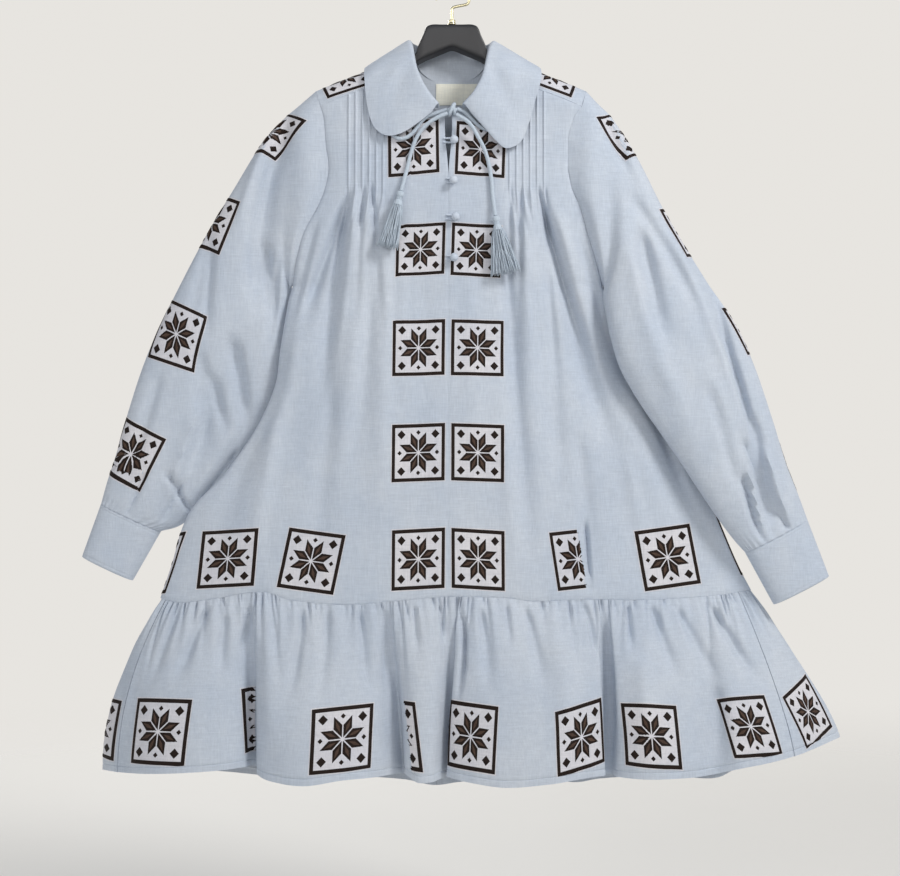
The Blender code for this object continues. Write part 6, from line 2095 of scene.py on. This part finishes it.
def ruffle(name, table, gathers, first, last, fine, squares):
    """A gathered wall from the first to the last of the solid's columns."""
    point_at = ruffle_sheet(table)
    columns = 2.0 * gathers
    count = (last - first) * fine
    places = [first + c / fine for c in range(count + 1)]
    if first > 0:
        places[0] += SEAM_GAP / (20 * MM)
    if last < columns:
        places[-1] -= SEAM_GAP / (20 * MM)
    rows = [point_at(place / columns, 1.0, (0.0, 0))[0] for place in places]
    run = [0.0]
    for a, b in zip(rows, rows[1:]):
        run.append(run[-1] + (b - a).length)
    made = creases(run[-1], CREASE_SPACING, 17 + 100 * len(name) + first)
    starts = [crease.place for crease in made]
    levels = sorted([(i / 48) ** 1.4 for i in range(49)] + STITCH_LEVELS)
    outer = []
    inner = []
    for down in levels:
        smooth_line = [point_at(place / columns, down, (0.0, 0))[0] for place in places]
        out_line = []
        in_line = []
        for c in range(count + 1):
            turn = places[c] / 2.0
            phase = turn - int(turn)
            wave = -0.6 * math.cos(2 * math.pi * phase) * ease(min(c, count - c) / 8.0)
            here = point_at(places[c] / columns, down, (wave, int(turn)))[1]
            after = point_at(places[c] / columns, down, (wave, int(turn) + 1))[1]
            lift = mix(here, after, ease(phase))
            along = smooth_line[min(c + 1, count)] - smooth_line[max(c - 1, 0)]
            way_in = Vector((-along.y, along.x, 0.0)).normalized()
            point = smooth_line[c]
            near_side = ease(min(run[c], run[-1] - run[c]) / (14 * MM))
            calm = near_side * ease(down / 0.15)
            lift += crease_lift(made, starts, run[c], down * RUFFLE_DROP) * near_side
            if name == "ruffle_front":
                deeper = 1.5 * fold_depth(FINE_RUFFLE_FOLDS, point.x, point.z)
                lift += max(DEEPEST_RUFFLE_FOLD, deeper) * near_side
            lift += 1.5 * uneven(point.x, point.y, point.z) * calm
            lift -= 0.7 * MM * math.exp(-((down - HEM_STITCHES) / 0.003) ** 2)
            out_line.append(point - way_in * lift)
            in_line.append(point + way_in * (CLOTH - lift))
        outer.append(out_line)
        inner.append(in_line)
    item = wall("cloth_" + name, outer, inner, CLOTH_LOOK)
    place_piece(item, "cloth", name)
    if squares:
        surface = Surface(outer)
        middle = count // 2
        line = outer[20][middle + 1] - outer[20][middle - 1]
        way_in = Vector((-line.y, line.x, 0.0))
        surface.turn = -1.0 if surface.slopes(20, middle)[2].dot(way_in) > 0 else 1.0
        embroider(name, surface, squares)
    return item


def collar():
    sections = [collar_section(row) for row in COLLAR]
    for section in sections:
        over = 2.6 * MM * ease((section[0].y + 24 * MM) / (20 * MM))
        section[0] += (section[0] - section[1]).normalized() * over
    lines = refine(sections, 6, 6)
    half = COLLAR_THICKNESS / 2
    rows = len(lines)
    count = len(lines[0])
    outer = []
    inner = []
    for r in range(rows):
        out_line = []
        in_line = []
        for c in range(count):
            ahead = lines[min(r + 1, rows - 1)][c] - lines[max(r - 1, 0)][c]
            across = lines[r][min(c + 1, count - 1)] - lines[r][max(c - 1, 0)]
            side = ahead.cross(across)
            side.normalize()
            point = lines[r][c]
            leaf = ease((c - 16) / 8.0) * ease(min(r, rows - 1 - r) / 6.0) * ease((count - 1 - c) / 4.0)
            lift = 0.55 * uneven(point.x, point.y, point.z) * leaf
            rim = 0.35 * (1.0 - ease((count - 1 - c) / 1.6))
            rim += 0.35 * (1.0 - ease(min(r, rows - 1 - r) / 1.6))
            thick = half * (1.0 - rim)
            out_line.append(point + side * (thick + lift))
            in_line.append(point - side * (thick - lift))
        outer.append(out_line)
        inner.append(in_line)
    item = wall("cloth_collar", outer, inner, CLOTH_LOOK)
    return place_piece(item, "cloth", "collar")


def label():
    """The bare neck label, on the inside of the back yoke, with a stitched rim."""
    width = 51.6 * MM
    height = 25.8 * MM
    thickness = 0.8 * MM
    outer = []
    inner = []
    for r in range(17):
        z = -125.2 * MM - height * r / 16
        out_line = []
        in_line = []
        for c in range(33):
            x = 6.6 * MM + width * (c / 32 - 0.5)
            y = back_y(x, z) - CLOTH - SEAM_GAP - 0.25 * MM
            rim = ease(min(c, 32 - c) / 2.0) * ease(min(r, 16 - r) / 2.0)
            out_line.append(Vector((x, y, z)))
            in_line.append(Vector((x, y - thickness * mix(0.55, 1.0, rim), z)))
        outer.append(out_line)
        inner.append(in_line)
    item = wall("tape_label", outer, inner, LABEL_LOOK)
    return place_piece(item, "label_cream", "label")


BALL_RADIUS = 4.9 * MM


def button_middle(place):
    """Where a button sits; one beside the open slit keeps clear of its edge."""
    x = place.x * MM
    z = place.z * MM
    if x < CENTRE_FRONT + SLIT_HALF_WIDTH + 4 * MM and z > SLIT_END_Z:
        x = CENTRE_FRONT + slit(z) + SHANK_RADIUS + 2.0 * MM
    return x, z


def button(number, place):
    """A ball button covered with cloth that is gathered under it."""
    x, z = button_middle(place)
    face = front_y(x, z) - BUTTON_GAP
    profile = [(0.0, SHANK_RADIUS), (SHANK_HEIGHT, SHANK_RADIUS)]
    for step in range(2, 17):
        angle = math.pi * step / 17
        profile.append((SHANK_HEIGHT + BALL_RADIUS * (1 - math.cos(angle)), BALL_RADIUS * math.sin(angle)))
    rings = []
    for depth, radius in profile:
        ring = []
        for k in range(28):
            turn = 2 * math.pi * k / 28
            crimp = 1.0 + 0.05 * math.sin(9 * turn) * (1.0 - ease((depth - SHANK_HEIGHT) / BUTTON_RADIUS))
            reach = radius * crimp
            ring.append(Vector((x + reach * math.cos(turn), face - depth, z + reach * math.sin(turn))))
        rings.append(ring)
    # The button's cloth is painted lighter than the dress's: a painted highlight
    item = solid_rings("ball_button_%d" % number, rings, LIT_BUTTON_LOOK)
    place_piece(item, "cloth", "button_%d" % number)


def loop(number, place):
    """A rouleau loop from the left front's edge round the button's shank."""
    x, z = button_middle(place)
    around = SHANK_RADIUS + LOOP_RADIUS + 0.25 * MM
    start = CENTRE_FRONT - slit(z) - 2.4 * MM
    route = [Vector((start, 0, z + around)), Vector((mix(start, x, 0.5), 0, z + around))]
    for step in range(5):
        angle = math.pi / 2 - math.pi * step / 4
        route.append(Vector((x + around * math.cos(angle), 0, z + around * math.sin(angle))))
    route += [Vector((mix(start, x, 0.5), 0, z - around)), Vector((start, 0, z - around))]
    for point in route:
        point.y = min(front_y(start, z), front_y(x, z)) - LOOP_RADIUS - BUTTON_GAP
    # The loop's cloth is painted lighter than the dress's: a painted highlight
    item, _ = rope("rouleau_loop_%d" % number, route, 1.25 * LOOP_RADIUS, LIT_BUTTON_LOOK, 10, 6 * MM, 0.05)
    place_piece(item, "cloth", "loop_%d" % number)


def hanger():
    flared = {30.5: -61.5, 35: -72.0, 38.5: -79.5, 41: -85.5, 43.5: -93.0}
    half_rows = [row._replace(top=flared.get(row.x, row.top)) for row in HANGER]
    rows = [row._replace(x=-row.x) for row in reversed(half_rows[1:])] + half_rows
    rings = []
    for row in rows:
        middle = (row.top + row.bottom) / 2
        half = (row.top - row.bottom) / 2
        ring = []
        for k in range(40):
            angle = 2 * math.pi * (k + 0.5) / 40
            deep = math.copysign(abs(math.cos(angle)) ** 0.3, math.cos(angle))
            high = math.copysign(abs(math.sin(angle)) ** 0.3, math.sin(angle))
            y = row.depth * MM * deep * 0.98
            z = (middle + half * high * 0.99) * MM
            if high < 0 and abs(row.x) < 42:
                z -= 3.4 * MM * ease(0.5 + deep / 2)
            if abs(row.x) > 46.5:
                under = shoulder_line(abs(row.x * MM - SHOULDER_CENTRE)) - CLOTH - 0.7 * MM
                arch = SHOULDER_ROUND * (1.0 - math.sqrt(1.0 - (y / ARM_ARCH) ** 2))
                z = min(z, under - arch)
            ring.append(Vector((row.x * MM, y, z)))
        rings.append(ring)
    item = solid_rings("plate_hanger", refine(rings, 6, 1, closed=True), HANGER_LOOK)
    place_piece(item, "hanger_black", "hanger_body")
    rings = []
    for z, radius in ((-58.3, 4.3), (-58.1, 4.7), (-57.4, 4.9), (-56.6, 4.4), (-55.8, 4.1), (-54.6, 4.1),
                      (-53.8, 4.4), (-53.0, 4.0), (-52.6, 3.4)):
        rings.append([Vector((radius * MM * math.cos(2 * math.pi * k / 48),
                              radius * MM * math.sin(2 * math.pi * k / 48), z * MM)) for k in range(48)])
    item = solid_rings("collar_ferrule", rings, HOOK_LOOK)
    place_piece(item, "hook_gold", "hanger_ferrule")
    wire = 1.75 * MM
    arc = 20.4 * MM
    centre_z = wire - arc
    points = [Vector((0, 0, z * MM)) for z in (-52.2, -47.0, -42.0, -39.6)]
    for x, z in ((1.0, -37.9), (3.0, -36.9), (8.0, -35.7), (14.0, -34.6), (17.8, -33.6), (19.8, -31.4),
                 (20.4, -28.0)):
        points.append(Vector((x * MM, 0, z * MM)))
    for step in range(17):
        angle = math.radians(-8 + 13.5 * step)
        points.append(Vector((arc * math.cos(angle), 0, centre_z + arc * math.sin(angle))))
    item, _ = rope("wire_hook", points, wire, HOOK_LOOK, 20, 6 * MM, 0.0)
    place_piece(item, "hook_gold", "hanger_hook")


hanger()
front_panel("front_left", -1, FRONT_LEFT_SQUARES)
front_panel("front_right", 1, FRONT_RIGHT_SQUARES)
back_panel()
yoke()
sleeve("sleeve_left", -1, SLEEVE_LEFT, LEFT_SLEEVE_FOLDS,
               FINE_LEFT_SLEEVE_FOLDS, SLEEVE_LEFT_SQUARES)
sleeve("sleeve_right", 1, SLEEVE_RIGHT, RIGHT_SLEEVE_FOLDS,
               FINE_RIGHT_SLEEVE_FOLDS, SLEEVE_RIGHT_SQUARES)
cuff("cuff_left", SLEEVE_LEFT[-1], CUFF_END_LEFT)
cuff("cuff_right", SLEEVE_RIGHT[-1], CUFF_END_RIGHT)
ruffle("ruffle_front", RUFFLE_FRONT, FRONT_GATHERS, 0, 2 * FRONT_GATHERS, 6,
               RUFFLE_FRONT_SQUARES)
ruffle("ruffle_back_right", RUFFLE_BACK, BACK_GATHERS, 0, BACK_SPLIT, 5,
               RUFFLE_RIGHT_SQUARES)
ruffle("ruffle_back_left", RUFFLE_BACK, BACK_GATHERS, BACK_SPLIT, 2 * BACK_GATHERS, 5,
               RUFFLE_LEFT_SQUARES)
collar()
label()
for number, place in enumerate(BUTTONS, 1):
    button(number, place)
    loop(number, place)
